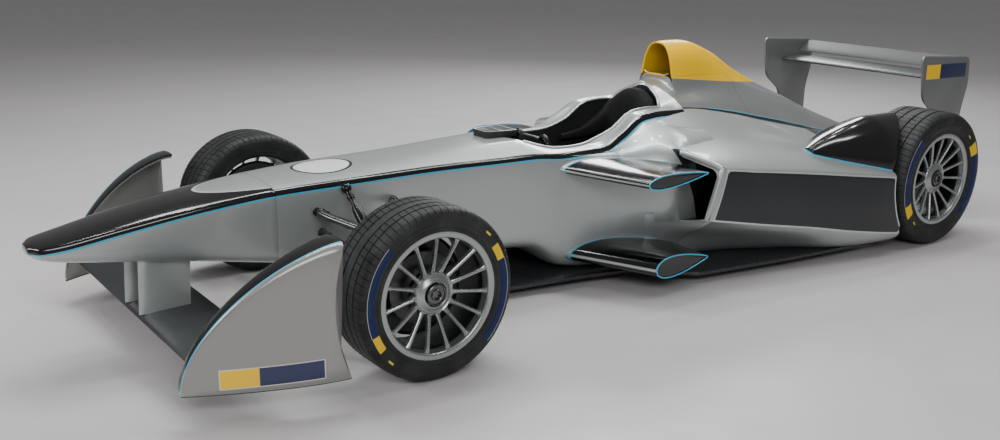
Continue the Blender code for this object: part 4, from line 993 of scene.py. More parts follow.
def line_on_cover(material):
    along, height = marks_uv(material)
    past = minus(material, height, cover_limit(material, along))
    line = within(material, past, 0.0, 0.004)
    return times(material, line, within(material, along, -1.76, -0.70))


COVER_PAINT = painted("cover_paint", (
    # painted shade: a darker copy of the body's silver over the whole cover
    (everywhere, (0.345, 0.368, 0.360), 0.36, SILVER_METAL),
    (band_on_cover, *gloss(BLACK_COLOUR)),
    (line_on_cover, *gloss(CYAN_COLOUR)),
    (yellow_area, *YELLOW_COAT),
    (mark_band(FIRST, -1.0212, -1.0188, 0.0003), (0.05, 0.05, 0.05), 0.6, 0.0),
))
AIRBOX_PAINT = painted("airbox_paint", ((yellow_area, *YELLOW_COAT),), 0.06, 0.2)


def below_joint(x, z):
    return z < min(cut_z + (x - cut_x) * slope for cut_x, cut_z, slope in AIRBOX_JOINT)


def build_cover():
    """The engine cover and the yellow air box on it, split along their joint."""
    rings, marks = [], []
    brow = list(np.linspace(TUB_END_X - SEAT_GAP, MOUTH_X + SEAT_GAP, 9))
    for x in brow + list(np.linspace(MOUTH_X, -2.06, 106)):
        half, heights = cover_half(x)
        rings.append([(x, p[0], p[1]) for p in half] + [(x, -p[0], p[1]) for p in reversed(half[:-1])])
        marks.append([(x, h) for h in heights] + [(x, h) for h in reversed(heights[:-1])])
    shell = grid_piece("cover_skin", rings, closed=False, marks=marks, caps=False)
    edit(shell)
    for cut_x, cut_z, slope in AIRBOX_JOINT:
        choose_all()
        bpy.ops.mesh.bisect(plane_co=(cut_x, 0.0, cut_z), plane_no=(-slope, 0.0, 1.0))
    leave_edit()
    deselect()
    airbox = shell.copy()
    airbox.data = shell.data.copy()
    link(named(airbox, "airbox_skin"))
    for piece, keep_below in ((shell, True), (airbox, False)):
        def unwanted(face):
            x, _, z = face.center
            in_mouth = abs(face.normal[0]) > 0.95 and x > MOUTH_X - 0.001 and z > 0.80
            return below_joint(x, z) != keep_below or in_mouth

        choose_faces(piece, unwanted)
        bpy.ops.mesh.delete(type="FACE")
        turn_out()
        crown = max(piece.data.polygons, key=lambda f: f.center[2])
        if crown.normal[2] < 0.0:
            piece.data.flip_normals()
        apply(piece, "SOLIDIFY", thickness=0.007 if piece is airbox else 0.004, offset=-1.0,
              use_even_offset=True)
        round_edges(piece, 0.0018, 2, 40.0)
    paint(shell, COVER_PAINT)
    paint(airbox, AIRBOX_PAINT)
    settle(shell, "chassis", "silver_paint", "engine_cover")
    settle(airbox, "chassis", "yellow_paint", "airbox")
    sill = smooth_line([(MOUTH_X + 0.001, y, z) for y, z in (
        (0.086, 0.893), (0.060, 0.885), (0.0, 0.884), (-0.060, 0.885), (-0.086, 0.893))], 6)
    lip = bead("mouth_sill", sill, 0.0042, steps=10, across=(1.0, 0.0, 0.0))
    settle(paint(lip, SILVER_PAINT), "chassis", "silver_paint")


# Side pod: x, sill half width, undercut half width, undercut z, panel foot half width,
# panel foot z, panel top half width, panel top z, deck edge half width, deck edge z,
# inner deck z.
POD_SECTIONS = (
    (-0.300, 0.400, 0.510, 0.190, 0.694, 0.312, 0.702, 0.548, 0.672, 0.570, 0.715),
    (-0.500, 0.430, 0.565, 0.165, 0.742, 0.272, 0.738, 0.528, 0.706, 0.552, 0.744),
    (-0.880, 0.600, 0.715, 0.122, 0.812, 0.208, 0.802, 0.482, 0.768, 0.507, 0.683),
    (-1.100, 0.740, 0.812, 0.100, 0.852, 0.166, 0.840, 0.452, 0.806, 0.477, 0.630),
    (-1.300, 0.800, 0.858, 0.090, 0.884, 0.134, 0.868, 0.425, 0.834, 0.450, 0.585),
    (POD_END_X, 0.820, 0.874, 0.085, 0.896, 0.112, 0.884, 0.404, 0.850, 0.428, 0.552),
)
POD_INNER_Y = 0.2503
POD_FRONT_X = POD_SECTIONS[0][0]
# Air duct: x, then y and z of its lower inner, lower outer, upper outer and upper inner edges.
POD_DUCT = (
    (-0.140, 0.440, 0.262, 0.664, 0.324, 0.656, 0.553, 0.440, 0.606),
    (-0.460, 0.440, 0.262, 0.700, 0.300, 0.690, 0.520, 0.440, 0.580),
    (-0.820, 0.400, 0.220, 0.720, 0.250, 0.700, 0.470, 0.400, 0.520),
)
# Soft swelling of the pod's deck: centre, direction across, half length, half width, height.
DECK_SWELL = dict(x=-0.98, y=0.53, turn=-0.27, length=0.17, width=0.060, height=0.016)


def deck_swell(x, y):
    run = (x - DECK_SWELL["x"]) / DECK_SWELL["length"]
    off = (y - DECK_SWELL["y"] - DECK_SWELL["turn"] * (x - DECK_SWELL["x"])) / DECK_SWELL["width"]
    return DECK_SWELL["height"] * math.exp(-run * run - off * off)


def lean_share(x):
    """How much of the inlet's slant a section takes: all of it in front, none further back."""
    return min(max((x + 0.50) / 0.20, 0.0), 1.0)


def pod_lean(x_share, y, z, foot_z):
    if z < foot_z - 0.0005:
        return 0.0
    return x_share * (0.05 - 0.558 * (y - 0.5) - 0.31 * (z - 0.61))


def pod_parts(x):
    """A pod section in parts: bottom with undercut, outer panel, and deck, each a line of (y, z)."""
    sill, under, under_z, foot, foot_z, top, top_z, edge, edge_z, deck_z = read_row(POD_SECTIONS, x)
    lower = [(POD_INNER_Y, KEEL_Z), (sill - 0.02, KEEL_Z)]
    lower += smooth_line([(sill, KEEL_Z), (under, under_z), (foot, foot_z)], 6,
                         ghosts=((sill - 0.08, KEEL_Z), (foot + 0.005, foot_z + 0.12)))
    middle = (POD_INNER_Y + edge) / 2
    middle_z = deck_z + (edge_z - deck_z) * 0.55 - 0.006
    panel = smooth_line([(foot, foot_z), ((foot + top) / 2 + 0.004, (foot_z + top_z) / 2), (top, top_z)], 6)
    deck = smooth_line([(top, top_z), (edge, edge_z), (middle, middle_z), (POD_INNER_Y, deck_z)], 10,
                       ghosts=((top + 0.004, top_z - 0.08), (POD_INNER_Y - 0.1, deck_z + 0.02)))
    deck = [(y, z + deck_swell(x, y)) for y, z in deck]
    return lower, panel, deck, foot_z


def pod_height(x, y):
    """Height of the pod's deck at a place, as far as its outer edge."""
    _, panel, deck, _ = pod_parts(x)
    line = sorted([(p[0], p[1]) for p in deck] + [(panel[-1][0] + 0.02, panel[-1][1] - 0.1)])
    return float(np.interp(y, [p[0] for p in line], [p[1] for p in line]))


def pod_ring(x):
    lower, panel, deck, foot_z = pod_parts(x)
    share = lean_share(x)
    ring = []
    for y, z in list(lower) + list(panel[1:]) + list(deck[1:]):
        px = x + pod_lean(share, max(y, 0.36), z, foot_z)
        dive = 0.9 * max(px + 0.30, 0.0) * min(max((0.50 - y) / 0.14, 0.0), 1.0)
        ring.append((px, y, z - dive if z > foot_z else z))
    return ring


# Room round the rear tyre, to the bodywork and to the satin panel
WELL_ROOM = 0.030
PANEL_ROOM = 0.033


def wheel_well(room):
    """A disc that cuts room for the left rear tyre out of the bodywork."""
    radius = REAR_AXLE_Z + room
    centre = (REAR_AXLE_X, 0.0, REAR_AXLE_Z)
    inner = CAR_WIDTH / 2 - REAR_TYRE["width"] - 0.02
    return turned_piece("well", ((0.0, inner), (radius, inner), (radius, 1.2), (0.0, 1.2)), centre, 128)


DUCT_BLACK = carbon_finish("duct_carbon", coat=0.2, roughness=0.45, dark=(0.006, 0.006, 0.007),
                           light=(0.012, 0.012, 0.013))


def panel_finish():
    material = new_finish("panel_satin", GRAPHITE_COLOUR, 0.36, 0.35, 0.25, 0.18)
    colour = mix_colour(material, grain(material, 3.0, 0.0, 1.0, 2.0), (0.022, 0.025, 0.028), GRAPHITE_COLOUR)
    # painted highlight: a pale border round the panel's edges
    edge = mark_band(SECOND, -1.0, -0.0005)(material)
    colour = mix_colour(material, edge, colour, (0.60, 0.61, 0.61))
    rough = mix_value(material, edge, grain(material, 500.0, 0.30, 0.38, 1.0), 0.3)
    return wire_up(material, Base_Color=colour, Roughness=rough, Normal=paint_bump(material))


PANEL_SATIN = panel_finish()


def pod_chin():
    """The floor of the air inlet, grown forward from the pod into the tub's flank."""
    sill, under, under_z, outer, top_z = POD_SECTIONS[0][1:6]
    full = smooth_line([(sill, KEEL_Z), (under, under_z), (outer, top_z)], 6,
                       ghosts=((sill - 0.08, KEEL_Z), (outer + 0.005, top_z + 0.12)))
    front_x, rear_x, grown = -0.060, -0.360, 0.21
    rings = []
    for x in np.linspace(front_x, rear_x, 40):
        share = min((front_x - x) / grown, 1.0) ** 2.3
        skin = body_half(x)[0][SPAN_STEPS:3 * SPAN_STEPS + 1]
        lower = []
        for y, z in full:
            flank = float(np.interp(z, [p[1] for p in skin], [p[0] for p in skin])) - 0.011
            lower.append((flank + (y - flank) * share, z))
        tip, inner = lower[-1][0], min(POD_INNER_Y, lower[0][0] - 0.02)
        inner_z = top_z - 0.058
        ring = [(inner, KEEL_Z)] + lower + [(tip - 0.004, top_z + 0.003), (tip - 0.012, top_z + 0.001),
                                            (min(0.50, tip - 0.03), inner_z), (inner, inner_z)]
        rings.append([(x, y, z) for y, z in ring])
    chin = grid_piece("pod_chin", rings)
    return paint(chin, SILVER_PAINT)


def build_sidepod():
    stations = list(np.linspace(POD_FRONT_X, POD_END_X, 64))
    pod = grid_piece("pod_skin_left", [pod_ring(x) for x in stations])
    paint(pod, SILVER_PAINT)
    fairing_tool = grid_piece("pod_block", [pod_ring(x) for x in stations + [REAR_AXLE_X - 0.02]])
    paint(fairing_tool, SILVER_PAINT)
    duct = grid_piece("duct_space", [
        [(row[0], row[i], row[i + 1]) for i in range(1, 9, 2)] for row in POD_DUCT
    ])
    apply(duct, "BEVEL", width=0.030, segments=5, limit_method="ANGLE", angle_limit=math.radians(40))
    well = wheel_well(WELL_ROOM)
    tub_block = body_skin("tub_block", [0.3 - 0.02 * k for k in range(41)], 0.0006)
    for tool, finish in ((duct, DUCT_BLACK), (well, DUCT_BLACK), (tub_block, SILVER_PAINT)):
        paint(tool, finish)
    cut_with(pod, pod_chin(), "UNION")
    for tool in (duct, well, tub_block):
        cut_with(pod, tool)
    smooth(pod, 32.0)
    settle_pair(pod, "chassis", "silver_paint", "sidepod")
    build_inlet_lip()
    return fairing_tool


def build_inlet_lip():
    """The rounded silver lip over and outside the air inlet."""
    _, panel, deck, _ = pod_parts(POD_FRONT_X)
    outline = [tuple(p) for p in panel] + [tuple(p) for p in deck[1:] if p[0] > 0.505]
    path = []
    for i, (y, z) in enumerate(outline):
        ahead = outline[min(i + 1, len(outline) - 1)]
        behind = outline[max(i - 1, 0)]
        run = Vector((ahead[0] - behind[0], ahead[1] - behind[1])).normalized()
        inset = 0.0150
        py, pz = y - run[1] * inset, z + run[0] * inset
        path.append((POD_FRONT_X + pod_lean(1.0, py, pz, 0.0) - 0.004, py, pz))
    path = smooth_line(path[::3] + [path[-1]], 3)
    lip = bead("inlet_lip_left", path, lambda share: 0.0155 - 0.0055 * max(share - 0.75, 0.0) / 0.25
               - 0.006 * max(0.12 - share, 0.0) / 0.12, steps=16, across=(1.0, 0.0, 0.0))
    settle_pair(paint(lip, SILVER_PAINT), "chassis", "silver_paint")


def build_side_panel():
    """The satin panel let into the pod's flank."""
    rings, marks = [], []
    front_x, count = -0.314, 64
    well = REAR_AXLE_Z + PANEL_ROOM
    for i in range(count + 1):
        x = front_x + (POD_END_X + 0.002 - front_x) * i / count
        _, panel, _, foot_z = pod_parts(x)
        share = lean_share(x)
        run = arc_lengths(panel, 0)
        row, pairs = [], []
        for (y, z), along in zip(panel, run):
            px = x + pod_lean(share, y, z, foot_z)
            rear = math.hypot(px - REAR_AXLE_X, z - REAR_AXLE_Z) - well
            row.append((px, y + 0.0022, z))
            pairs.append((px, min(along, run[-1] - along, rear, front_x - x) - 0.008))
        rings.append(row)
        marks.append(pairs)
    panel = grid_piece("side_panel_left", rings, closed=False, marks=marks, caps=False)
    edit(panel)
    turn_out()
    if panel.data.polygons[40].normal[1] < 0.0:
        panel.data.flip_normals()
    apply(panel, "SOLIDIFY", thickness=0.003, offset=-1.0)
    paint(panel, PANEL_SATIN)
    tool = wheel_well(PANEL_ROOM)
    paint(tool, PANEL_SATIN)
    cut_with(panel, tool)
    round_edges(panel, 0.0008, 2, 50.0)
    settle_pair(panel, "chassis", "silver_paint")


# Wheel fairing in front of the rear tyre: x ahead of the rear axle, inner y, inner top z,
# crown y, crown z, outer y, outer z.
FAIRING_SECTIONS = (
    (0.750, 0.590, 0.548, 0.620, 0.556, 0.650, 0.545),
    (0.600, 0.520, 0.578, 0.640, 0.622, 0.745, 0.535),
    (0.460, 0.480, 0.592, 0.660, 0.667, 0.815, 0.508),
    (0.350, 0.465, 0.595, 0.670, 0.688, 0.852, 0.488),
    (0.180, 0.460, 0.580, 0.680, 0.688, 0.860, 0.478),
)


FAIRING_GLOSS = painted("fairing_gloss", (
    (everywhere, *gloss(BLACK_COLOUR)),
    (mark_band(SECOND, -1.0, 0.006), *gloss(CYAN_COLOUR)),
))


def build_fairing(pod_block):
    """The gloss shell that hides the rear tyre's tread."""
    rings, marks = [], []
    for ahead in np.linspace(0.750, 0.180, 48):
        inner, inner_z, crown, crown_z, outer, outer_z = read_row(FAIRING_SECTIONS, ahead)
        x = REAR_AXLE_X + ahead
        shoulder = (crown + (outer - crown) * 0.62, crown_z + (outer_z - crown_z) * 0.30)
        top = smooth_line([(outer, outer_z), shoulder, (crown, crown_z), (inner, inner_z)], 8,
                          ghosts=((outer + 0.004, outer_z - 0.08), (inner - 0.03, inner_z - 0.06)))
        line = [(inner, outer_z - 0.16), (outer - 0.001, outer_z - 0.16)] + [tuple(p) for p in top]
        rings.append([(x, y, z) for y, z in line])
        low_x = max(x, POD_END_X)
        marks.append([(x, z - pod_height(low_x, y)) for y, z in line])
    fairing = grid_piece("fairing_skin_left", rings, marks=marks)
    paint(fairing, FAIRING_GLOSS)
    well = wheel_well(WELL_ROOM)
    paint(well, DUCT_BLACK)
    for tool in (pod_block, well):
        cut_with(fairing, tool)
    smooth(fairing, 34.0)
    settle_pair(fairing, "chassis", "black_gloss", "wheel_fairing")


# Aerofoils

def aerofoil(leading_x, z, chord, thickness, incidence=0.0, count=14, camber=0.0):
    """A closed aerofoil line of (x, z) points, trailing towards -X."""
    tilt = math.radians(incidence)
    upper, lower = [], []
    for i in range(count + 1):
        along = 0.5 - 0.5 * math.cos(math.pi * i / count)
        swell = 2.6 * (0.2969 * along**0.5 - 0.126 * along - 0.3516 * along**2 + 0.2843 * along**3
                       - 0.1015 * along**4) / 0.2 / 1.3 + 0.05 * along
        bend = camber * 4.0 * along * (1.0 - along)
        upper.append((along, swell * 0.5, bend))
        lower.append((along, -swell * 0.5, bend))
    points = []
    for along, up, bend in upper + list(reversed(lower[1:])):
        run = along * chord
        rise = up * thickness - bend * chord
        points.append((leading_x - run * math.cos(tilt) - rise * math.sin(tilt),
                       z + run * math.sin(tilt) + rise * math.cos(tilt)))
    return points


ENDPLATE_FRONT_X = 2.217
ENDPLATE_REAR_X = 1.685
ENDPLATE_LOW_Z = 0.100
ENDPLATE_HIGH_Z = 0.590
ENDPLATE_SKIN = 0.016


def endplate_y(x):
    share = (x - ENDPLATE_REAR_X) / (ENDPLATE_FRONT_X - ENDPLATE_REAR_X)
    return CAR_WIDTH / 2 - 0.18 * max(share, 0.0) ** 1.5


def endplate_top(x):
    span = ENDPLATE_FRONT_X - ENDPLATE_REAR_X
    share = min(max((ENDPLATE_FRONT_X - x) / span, 0.0), 1.0)
    rise = (1.0 - (1.0 - share) ** 1.6) ** (1.0 / 1.6)
    return ENDPLATE_LOW_Z + 0.02 + (ENDPLATE_HIGH_Z - ENDPLATE_LOW_Z - 0.02) * rise


def outer_plate(x_low, x_high, low, high, slope):
    """A mask of a blank plate on the outer face: x range, and z range that tilts with x."""
    def mask(material):
        x, y, z = place_xyz(material)
        level = minus(material, z, times(material, minus(material, x, x_low), slope))
        flat = times(material, within(material, x, x_low, x_high), within(material, level, low, high))
        geometry = put(material, "ShaderNodeNewGeometry")
        normal = put(material, "ShaderNodeSeparateXYZ", {"Vector": geometry.outputs["Normal"]})
        facing = times(material, normal.outputs["Y"], y)
        return times(material, flat, within(material, facing, 0.1, 2.0))
    return mask


ENDPLATE_PAINT = painted("endplate_paint", (
    # painted shade: a darker, browner copy of the body's silver over the whole plate
    (everywhere, (0.315, 0.315, 0.300), 0.36, 0.55),
    (outer_plate(1.774, 2.106, 0.1220, 0.1930, -0.008), (0.72, 0.72, 0.71), 0.3, 0.0),
    (outer_plate(1.777, 1.985, 0.1250, 0.1900, -0.008), BLUE_COLOUR, 0.3, 0.0),
    (outer_plate(1.985, 2.103, 0.1235, 0.1885, -0.008), *YELLOW_COAT),
    (level_band(-1.0, ENDPLATE_LOW_Z + 0.0045), (0.02, 0.02, 0.02), 0.5, 0.0),
    (mark_band(SECOND, 0.004, 1.0, 0.0005), *gloss(BLACK_COLOUR)),
    (mark_band(SECOND, -0.0015, 0.004, 0.0005), *gloss(CYAN_COLOUR)),
))


def build_endplates():
    """The front endplates: a broad curved skin that turns inwards as a black band."""
    span = ENDPLATE_FRONT_X - ENDPLATE_REAR_X
    # The rear edge follows an arc ahead of the front tyre; behind hollow_x the skin bends into it.
    arc_x, arc_z, arc_radius, hollow_x = 1.113, 0.360, 0.624, 1.775
    rings, marks = [], []
    count = 56
    for i in range(count + 1):
        back = span * (i / count) ** 1.7
        x = ENDPLATE_FRONT_X - back
        share = back / span
        y = endplate_y(x)
        top = endplate_top(x)
        shelf = 0.03 + 0.105 * share
        lip = 0.003 + 0.026 * share
        low = ENDPLATE_LOW_Z
        inner = y - ENDPLATE_SKIN
        under = max(top - ENDPLATE_SKIN, low + 0.010)
        base = max(top - 1.15 * lip, low + 0.006)
        outer = [(y - 0.0025, low), (y, low + 0.0025)]
        outer += [(y, low + 0.0025 + (base - low - 0.0025) * k / 8) for k in range(1, 9)]
        outer += [(y - lip * (1 - math.cos(a)) * 0.95, base + (top - base) * math.sin(a))
                  for a in (0.35, 0.7, 1.05, 1.35)]
        edge = (y - lip, top)
        band = [(y - lip - (shelf - lip) * k / 7, top + 0.003 * math.sin(math.pi * k / 7))
                for k in range(1, 8)]
        under_line = [(y - shelf, top - 0.004), (y - shelf, under + 0.001), (y - shelf * 0.6, under),
                      (inner, under - 0.001)]
        inside = [(inner, low + (under - low) * (1 - k / 5)) for k in range(1, 5)] + [(inner, low)]
        line = outer + [edge] + band + under_line + inside
        zero = len(outer)
        heights = arc_lengths(line, zero)
        for k in range(zero + len(band) + 2, len(line)):
            heights[k] = -0.2
        blend = min(max((hollow_x - x) / (hollow_x - ENDPLATE_REAR_X), 0.0), 1.0)
        ring, pairs = [], []
        for (py, pz), h in zip(line, heights):
            rear = arc_x + math.sqrt(max(arc_radius**2 - (pz - arc_z) ** 2, 0.0))
            ring.append((x + blend * (rear - ENDPLATE_REAR_X), py, pz))
            pairs.append((x, h))
        rings.append(ring)
        marks.append(pairs)
    plate = grid_piece("endplate_skin_left", rings, marks=marks)
    round_edges(plate, 0.0015, 2, 50.0)
    settle_pair(paint(plate, ENDPLATE_PAINT), "chassis", "silver_paint", "front_endplate")


def endplate_inner_y(x):
    return endplate_y(x) - ENDPLATE_SKIN


def satin_grey(name, colour, roughness):
    material = new_finish(name, colour, roughness, 0.3, 0.15, 0.2)
    tone = mix_colour(material, grain(material, 5.0, 0.0, 1.0, 4.0), tuple(c * 0.86 for c in colour), colour)
    rough = grain(material, 300.0, roughness - 0.05, roughness + 0.05)
    return wire_up(material, Base_Color=tone, Roughness=rough, Normal=paint_bump(material))


WING_SATIN = satin_grey("wing_satin", (0.045, 0.049, 0.052), 0.34)
REAR_WING_GREY = satin_grey("rear_wing_grey", (0.070, 0.077, 0.079), 0.36)


def build_front_wing():
    section = aerofoil(2.15, 0.165, 0.28, 0.026, 3.0, 20)
    rings = []
    for share in np.linspace(-1.0, 1.0, 25):
        rings.append([(x, (endplate_inner_y(x) - SEAT_GAP) * share, z) for x, z in section])
    wing = grid_piece("front_wing_plane", rings)
    smooth(wing, 40.0)
    settle(paint(wing, WING_SATIN), "chassis", "carbon", "front_wing")


REAR_MAIN = dict(leading_x=-2.185, z=0.800, chord=0.175, thickness=0.026, incidence=8.0)
REAR_FLAP = dict(leading_x=-2.335, z=0.846, chord=0.115, thickness=0.018, incidence=32.0)
REAR_BEAM = dict(leading_x=-2.255, z=0.388, chord=0.150, thickness=0.040, incidence=0.0)
REAR_ENDPLATE_OUTLINE = (
    (-2.010, 0.940), (-2.470, 0.912), (-2.485, 0.760), (-2.440, 0.600), (-2.440, 0.300),
    (-2.220, 0.220), (-2.180, 0.600), (-2.050, 0.700),
)


REAR_ENDPLATE_PAINT = painted("rear_endplate_paint", (
    # painted shade: a darker copy of the body's silver over the whole plate
    (everywhere, (0.205, 0.215, 0.215), 0.36, 0.5),
    (outer_plate(-2.440, -2.190, 0.801, 0.880, 0.02), BLUE_COLOUR, 0.3, 0.0),
    (outer_plate(-2.190, -2.060, 0.806, 0.885, 0.02), *YELLOW_COAT),
))


def build_rear_wing():
    half = 0.5447
    for name, data, camber in (("rear_wing_main", REAR_MAIN, 0.02), ("rear_wing_flap", REAR_FLAP, 0.03),
                               ("rear_wing_beam", REAR_BEAM, 0.0)):
        section = aerofoil(**data, count=18, camber=camber)
        piece = grid_piece(name + "_plane", [[(x, half * s, z) for x, z in section]
                                             for s in np.linspace(-1, 1, 13)])
        smooth(piece, 40.0)
        paint(piece, REAR_WING_GREY if name != "rear_wing_beam" else WING_SATIN)
        settle(piece, "chassis", "casing", name)
    outline = [(x, half + SEAT_GAP, z) for x, z in REAR_ENDPLATE_OUTLINE]
    plate = flat_plate("rear_endplate_plate_left", outline)
    edit(plate, "VERT")
    choose_all()
    bpy.ops.mesh.bevel(offset=0.035, segments=8, affect="VERTICES")
    thicken(plate, (0.0, 0.014, 0.0))
    round_edges(plate, 0.004, 3, 50.0)
    settle_pair(paint(plate, REAR_ENDPLATE_PAINT), "chassis", "silver_paint", "rear_endplate")


# Winglets on the flanks: y, leading x, z, chord and thickness, from root to tip.
UPPER_WINGLET = (
    (0.200, 0.335, 0.550, 0.530, 0.085),
    (0.340, 0.284, 0.546, 0.490, 0.068),
    (0.520, 0.204, 0.538, 0.425, 0.062),
    (0.700, 0.126, 0.532, 0.360, 0.060),
)
LOWER_WINGLET = (
    (0.200, 0.325, 0.150, 0.560, 0.110),
    (0.340, 0.250, 0.148, 0.500, 0.104),
    (0.520, 0.152, 0.142, 0.410, 0.098),
    (0.700, 0.056, 0.135, 0.320, 0.095),
)


# A silver line painted along the leading edge as a highlight, and the silver root that runs out into the
# flank
winglet_lead_highlight = mark_band(SECOND, -1.0, 0.0035, 0.001)
winglet_root = mark_band(FIRST, -1.0, 0.012, 0.001)
winglet_line = mark_band(FIRST, 0.012, 0.018, 0.001)
WINGLET_GLOSS = painted("winglet_gloss", (
    (everywhere, *gloss(BLACK_COLOUR)),
    # painted highlight: silver along the leading edge
    (winglet_lead_highlight, SILVER_COLOUR, 0.3, SILVER_METAL),
    (winglet_line, *gloss(CYAN_COLOUR)),
    (winglet_root, SILVER_COLOUR, 0.36, SILVER_METAL),
))
CYAN_TRIM = new_finish("cyan_trim", CYAN_COLOUR, 0.2, 0.0, 0.6)
wire_up(CYAN_TRIM, Roughness=grain(CYAN_TRIM, 300.0, 0.16, 0.26), Normal=paint_bump(CYAN_TRIM))


def flank_at(x, z):
    """The body's half width at a height below its shoulder."""
    half = body_half(x)[0][:4 * SPAN_STEPS + 1]
    return float(np.interp(z, [p[1] for p in half], [p[0] for p in half]))


def build_winglet(name, rows):
    rings, marks = [], []
    for y in np.linspace(rows[0][0], rows[-1][0], 26):
        values = read_row(rows, y)
        section = aerofoil(*values, incidence=2.0, count=20)
        rings.append([(x, y, z) for x, z in section])
        marks.append([(y - flank_at(x, z) - 0.02 * max(0.35 - abs(values[0] - x) / values[2], 0.0),
                       abs(values[0] - x) / values[2]) for x, z in section])
    piece = grid_piece(name + "_skin_left", rings, marks=marks)
    paint(piece, WINGLET_GLOSS)
    tool = body_skin("tub_block", [0.7 - 0.02 * k for k in range(61)], 0.0004)
    paint(tool, SILVER_PAINT)
    cut_with(piece, tool)
    tip_y = rows[-1][0]
    choose_faces(piece, lambda face: face.center[1] > tip_y - 1e-4)
    bpy.ops.mesh.inset(thickness=0.004, depth=0.0, use_even_offset=False)
    bpy.ops.mesh.inset(thickness=0.002, depth=-0.004, use_even_offset=False)
    leave_edit()
    smooth(piece, 40.0)
    settle_pair(piece, "chassis", "black_gloss", name)
    ring = [(x, tip_y - 0.0005, z) for x, z in aerofoil(*rows[-1][1:], incidence=2.0, count=20)[:-1]]
    trim = bead(name + "_trim_left", ring, 0.0032, closed=True, across=(0.0, 1.0, 0.0))
    settle_pair(paint(trim, CYAN_TRIM), "chassis", "black_gloss")


# Wheels

def sidewall_arc(axle, first, last, low, high):
    """A mask of an arc on the outer sidewall, in degrees up from straight ahead, and its twin opposite."""
    def mask(material):
        ahead, above, radius = from_axle(material, axle)
        slant = reckon(material, "ARCTAN2", above, ahead)
        turn = reckon(material, "WRAP", slant, math.pi / 2, -math.pi / 2)
        on_arc = within(material, turn, math.radians(first), math.radians(last), 0.004)
        on_ring = within(material, radius, low, high)
        side = reckon(material, "ABSOLUTE", place_xyz(material)[1])
        outside = within(material, side, CAR_WIDTH / 2 - 0.030, 1.0)
        return times(material, times(material, on_arc, on_ring), outside)
    return mask


def tyre_finish(name, axle):
    """Tyre rubber with the sidewall's coloured blocks, left bare of words."""
    low = BEAD_RADIUS + 0.039
    high = axle["diameter"] / 2 - 0.030
    return rubber_finish(name, 0.58, 0.22, (
        (sidewall_arc(axle, -20.0, 46.0, low, high), BLUE_COLOUR),
        (sidewall_arc(axle, -20.0, 46.0, high, high + 0.0016), (0.55, 0.55, 0.54)),
        (sidewall_arc(axle, -33.0, -20.0, low, high), (0.80, 0.52, 0.01)),
        (sidewall_arc(axle, -47.0, -42.0, low + 0.020, low + 0.027), (0.70, 0.62, 0.05)),
    ), 1.9)


FRONT_TYRE_RUBBER = tyre_finish("front_tyre_rubber", FRONT_TYRE)
REAR_TYRE_RUBBER = tyre_finish("rear_tyre_rubber", REAR_TYRE)
BLOCK_COUNT = 72


def wheel_centre(axle):
    return (axle["axle_x"], CAR_WIDTH / 2 - axle["width"] / 2, axle["diameter"] / 2)


def build_tyre(axle, name):
    """One tread block's slice of the tyre, modelled once and repeated round the axle."""
    _, centre_y, centre_z = wheel_centre(axle)
    tread = axle["diameter"] / 2
    half = axle["width"] / 2
    bead_r = BEAD_RADIUS + 0.0003
    seat = half * BEAD_SHARE

    def between(a, b, share):
        return a + (b - a) * share

    side = [
        (bead_r, seat - 0.004, 0), (bead_r + 0.006, seat + 0.0105, 0), (bead_r + 0.021, seat + 0.0122, 0),
        (bead_r + 0.0225, seat + 0.0150, 0), (bead_r + 0.0265, seat + 0.0152, 0),
        (bead_r + 0.028, seat + 0.0128, 0),
        (between(bead_r, tread, 0.45), half - 0.0016, 0), (between(bead_r, tread, 0.452), half - 0.0004, 0),
        (between(bead_r, tread, 0.47), half - 0.0002, 0), (between(bead_r, tread, 0.472), half - 0.0012, 0),
        (between(bead_r, tread, 0.62), half, 0), (between(bead_r, tread, 0.74), half - 0.0012, 0),
    ]
    side += [(tread - drop, half * share, cut) for drop, share, cut in (
        (0.0235, 0.978, 0), (0.0225, 0.982, 1), (0.0165, 0.962, 1), (0.0105, 0.925, 1), (0.0055, 0.868, 1),
        (0.0028, 0.80, 1), (0.0016, 0.70, 1), (0.0012, 0.63, 1))]
    groove = 0.0070
    tread_line = []
    for middle in (0.56, 0.20):
        wide = 0.034
        tread_line += [(tread - drop, half * (middle + off), cut) for drop, off, cut in (
            (0.0010, wide, 1), (groove, wide * 0.75, 0), (groove, -wide * 0.75, 0), (0.0008, -wide, 1))]
        if middle > 0.4:
            tread_line += [(tread - 0.0006, half * 0.48, 1), (tread - 0.0005, half * 0.31, 1)]
    tread_line.append((tread, half * 0.06, 0))
    outer = side + tread_line
    inner = [(tread - 0.016, half * 0.60), (between(bead_r, tread, 0.55), half * 0.90),
             (bead_r, seat - 0.016)]
    profile = [(r, centre_y - y, g) for r, y, g in outer]
    profile += [(r, centre_y + y, g) for r, y, g in reversed(outer)]
    profile += [(r, centre_y + y, 0) for r, y in reversed(inner)] + [(r, centre_y - y, 0) for r, y in inner]
    slice_angle = 2.0 * math.pi / BLOCK_COUNT
    sipe = math.radians(0.30)
    rings = []
    for angle, depth in (
        (0.0, 0.0), (sipe, 0.0038), (2 * sipe, 0.0), (slice_angle / 2, 0.0), (slice_angle, 0.0),
    ):
        ring = []
        for r, y, cuts in profile:
            lean = 0.05 * abs(y - centre_y) / half * (1.0 if y > centre_y else -1.0)
            radius, turn = r - depth * cuts, angle + lean
            ring.append((axle["axle_x"] + radius * math.sin(turn), y, centre_z + radius * math.cos(turn)))
        rings.append(ring)
    piece = grid_piece(name, rings, caps=False)
    edit(piece, "VERT")
    choose_all()
    bpy.ops.mesh.remove_doubles(threshold=1e-6)
    choose_all()
    bpy.ops.mesh.spin(steps=BLOCK_COUNT, angle=2.0 * math.pi, dupli=True,
                      center=(axle["axle_x"], centre_y, centre_z), axis=(0.0, 1.0, 0.0))
    choose_all()
    bpy.ops.mesh.remove_doubles(threshold=1e-5)
    turn_out()
    smooth(piece, 30.0)
    return piece


